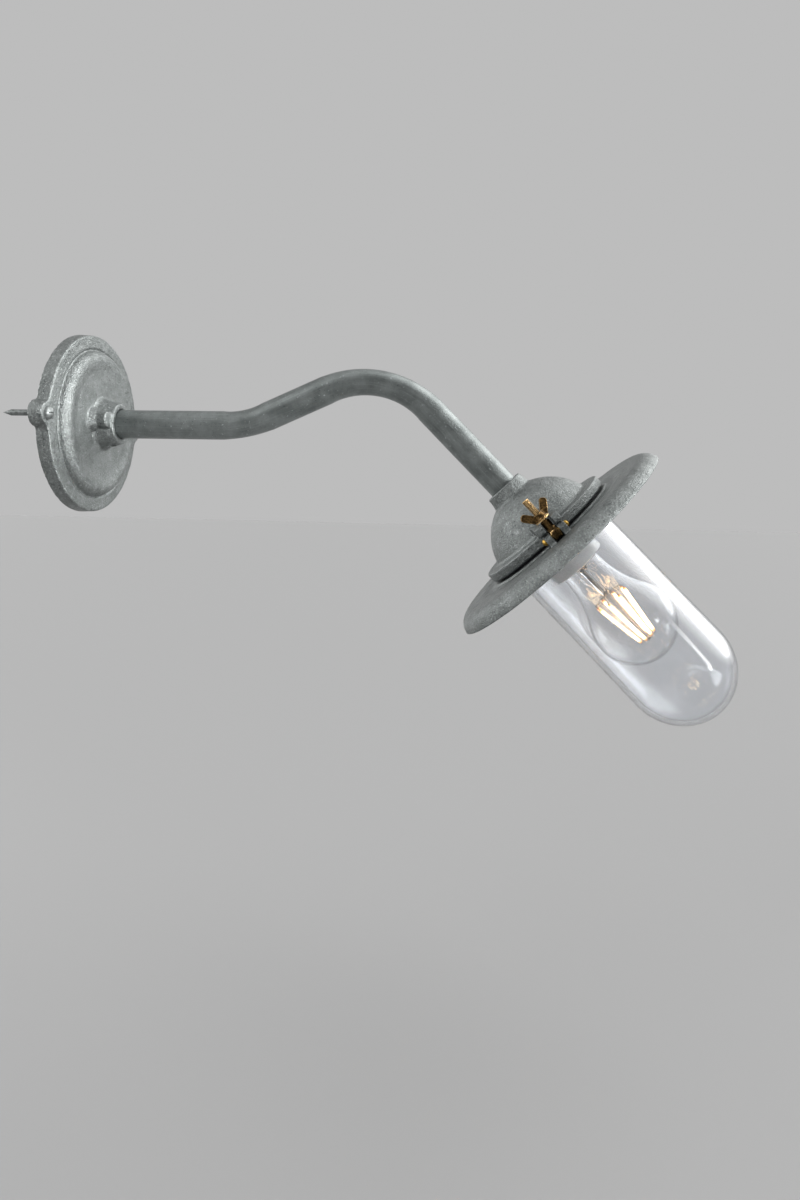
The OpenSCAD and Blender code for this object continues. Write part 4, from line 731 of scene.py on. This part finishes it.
level = add(lit_coat, "ShaderNodeMath", {0: power.outputs["Color"], 1: full_power}, operation="MULTIPLY")
surface(lit_coat, Base_Color=glow.outputs["Color"], Emission_Color=glow.outputs["Color"],
        Emission_Strength=level.outputs["Value"])


def rod_in(bm, radius, start, end):
    """Adds a closed rod between two places, in mm, and gives back its vertices."""
    rod = bmesh.ops.create_cone(bm, cap_ends=True, segments=rod_sides, radius1=radius * mm, radius2=radius * mm,
                                depth=(end - start).length * mm)["verts"]
    bmesh.ops.rotate(bm, verts=rod, matrix=Vector((0, 0, 1)).rotation_difference(end - start).to_matrix())
    bmesh.ops.translate(bm, verts=rod, vec=(start + end) / 2 * mm)
    return rod


strips, tabs = bmesh.new(), bmesh.new()
hooks, feet = [], []
for index in range(filament_count):
    turn = 2 * pi * (index + 0.5) / filament_count
    top = Vector((filament_top_r * cos(turn), filament_top_r * sin(turn), filament_top))
    low = Vector((filament_low_r * cos(turn), filament_low_r * sin(turn), filament_end))
    way = (low - top).normalized()
    hooks.append(top - tab_up * way)
    feet.append(low + tab_down * way)
    rod = rod_in(strips, filament_r, top, low)
    ends = [edge for edge in {edge for vert in rod for edge in vert.link_edges}
            if sum(len(face.verts) > 4 for face in edge.link_faces) == 1]
    bmesh.ops.bevel(strips, geom=ends, offset=rod_edge * mm, offset_type="OFFSET", segments=rod_edge_steps,
                    profile=0.5, affect="EDGES", material=-1)
    rod_in(tabs, tab_r, hooks[-1], top)
    rod_in(tabs, tab_r, low, feet[-1])
strips.transform(head)
fit_piece(strips, "filament_coats", "lamp", "filament", lit_coat, "filaments")

# Bent nickel wires star out from the stem's tip to hold the filaments, a middle wire gathers their feet
# at a small bracket, and four lead wires come up through the stem from the cap.
wire_r, wire_rounding, star_root, star_knee, knee_share, knee_drop = 0.26, 2, 101.5, 104.0, 0.35, 2.2
foot_drop, middle_top, middle_drop, ring_rise = 1.6, 103.0, 2.4, 1.4
lead_places = ((-2.0, 0.0), (-0.8, 1.2), (0.8, -1.2), (2.0, 0.0))
lead_route = ((2.2, 77.0), (1.6, 88.0), (1.9, 101.0), (3.4, 106.0))
open_ring = (5, 6, 7, 0, 1, 2)
bracket_r, bracket_end_r, bracket_h, bracket_drop, bracket_sides = 1.7, 1.2, 2.0, 1.8, 24
wire_lines = []
for hook, foot in zip(hooks, feet):
    knee = Vector((0, 0, star_knee))
    knee += knee_share * (hook - knee) + Vector((0, 0, knee_drop))
    wire_lines.append([Vector((0, 0, star_root)), knee, hook])
    wire_lines.append([foot, Vector((0, 0, filament_end + foot_drop))])
for x, y in lead_places:
    wire_lines.append([Vector((spread * x, spread * y, down)) for spread, down in lead_route])
wire_lines.append([Vector((0, 0, middle_top)), Vector((0, 0, filament_end + middle_drop))])
ring_turns = [2 * pi * (index + 0.5) / filament_count for index in open_ring]
wire_lines.append([Vector((filament_top_r * cos(turn), filament_top_r * sin(turn), filament_top - ring_rise))
                   for turn in ring_turns])
drawing = bpy.data.curves.new("wires", "CURVE")
drawing.dimensions = "3D"
drawing.bevel_depth, drawing.bevel_resolution, drawing.use_fill_caps = wire_r * mm, wire_rounding, True
for line in wire_lines:
    spline = drawing.splines.new("POLY")
    spline.points.add(len(line) - 1)
    for point, spot in zip(spline.points, line):
        point.co = tuple(spot * mm) + (1,)
hanger = bpy.data.objects.new("wires", drawing)
bpy.context.collection.objects.link(hanger)
bpy.context.view_layer.update()
drawn = bpy.data.meshes.new_from_object(hanger.evaluated_get(bpy.context.evaluated_depsgraph_get()))
bpy.data.objects.remove(hanger)
frame_wires = bmesh.new()
frame_wires.from_mesh(drawn)
bracket = bmesh.ops.create_cone(frame_wires, cap_ends=True, segments=bracket_sides, radius1=bracket_r * mm,
                                radius2=bracket_end_r * mm, depth=bracket_h * mm)["verts"]
bmesh.ops.translate(frame_wires, verts=bracket, vec=(0, 0, (filament_end + bracket_drop) * mm))
joined(frame_wires, tabs)
frame_wires.transform(head)
nickel = material("drawn nickel wire", Metallic=1.0)
grained(nickel, "#8C877E", "#B9B4A9", patch_size=2.0, grain_size=0.3, relief=0.01, gloss=(0.4, 0.55))
fit_piece(frame_wires, "filament_wires", "lamp", "plated_steel", nickel, "filament_frame")
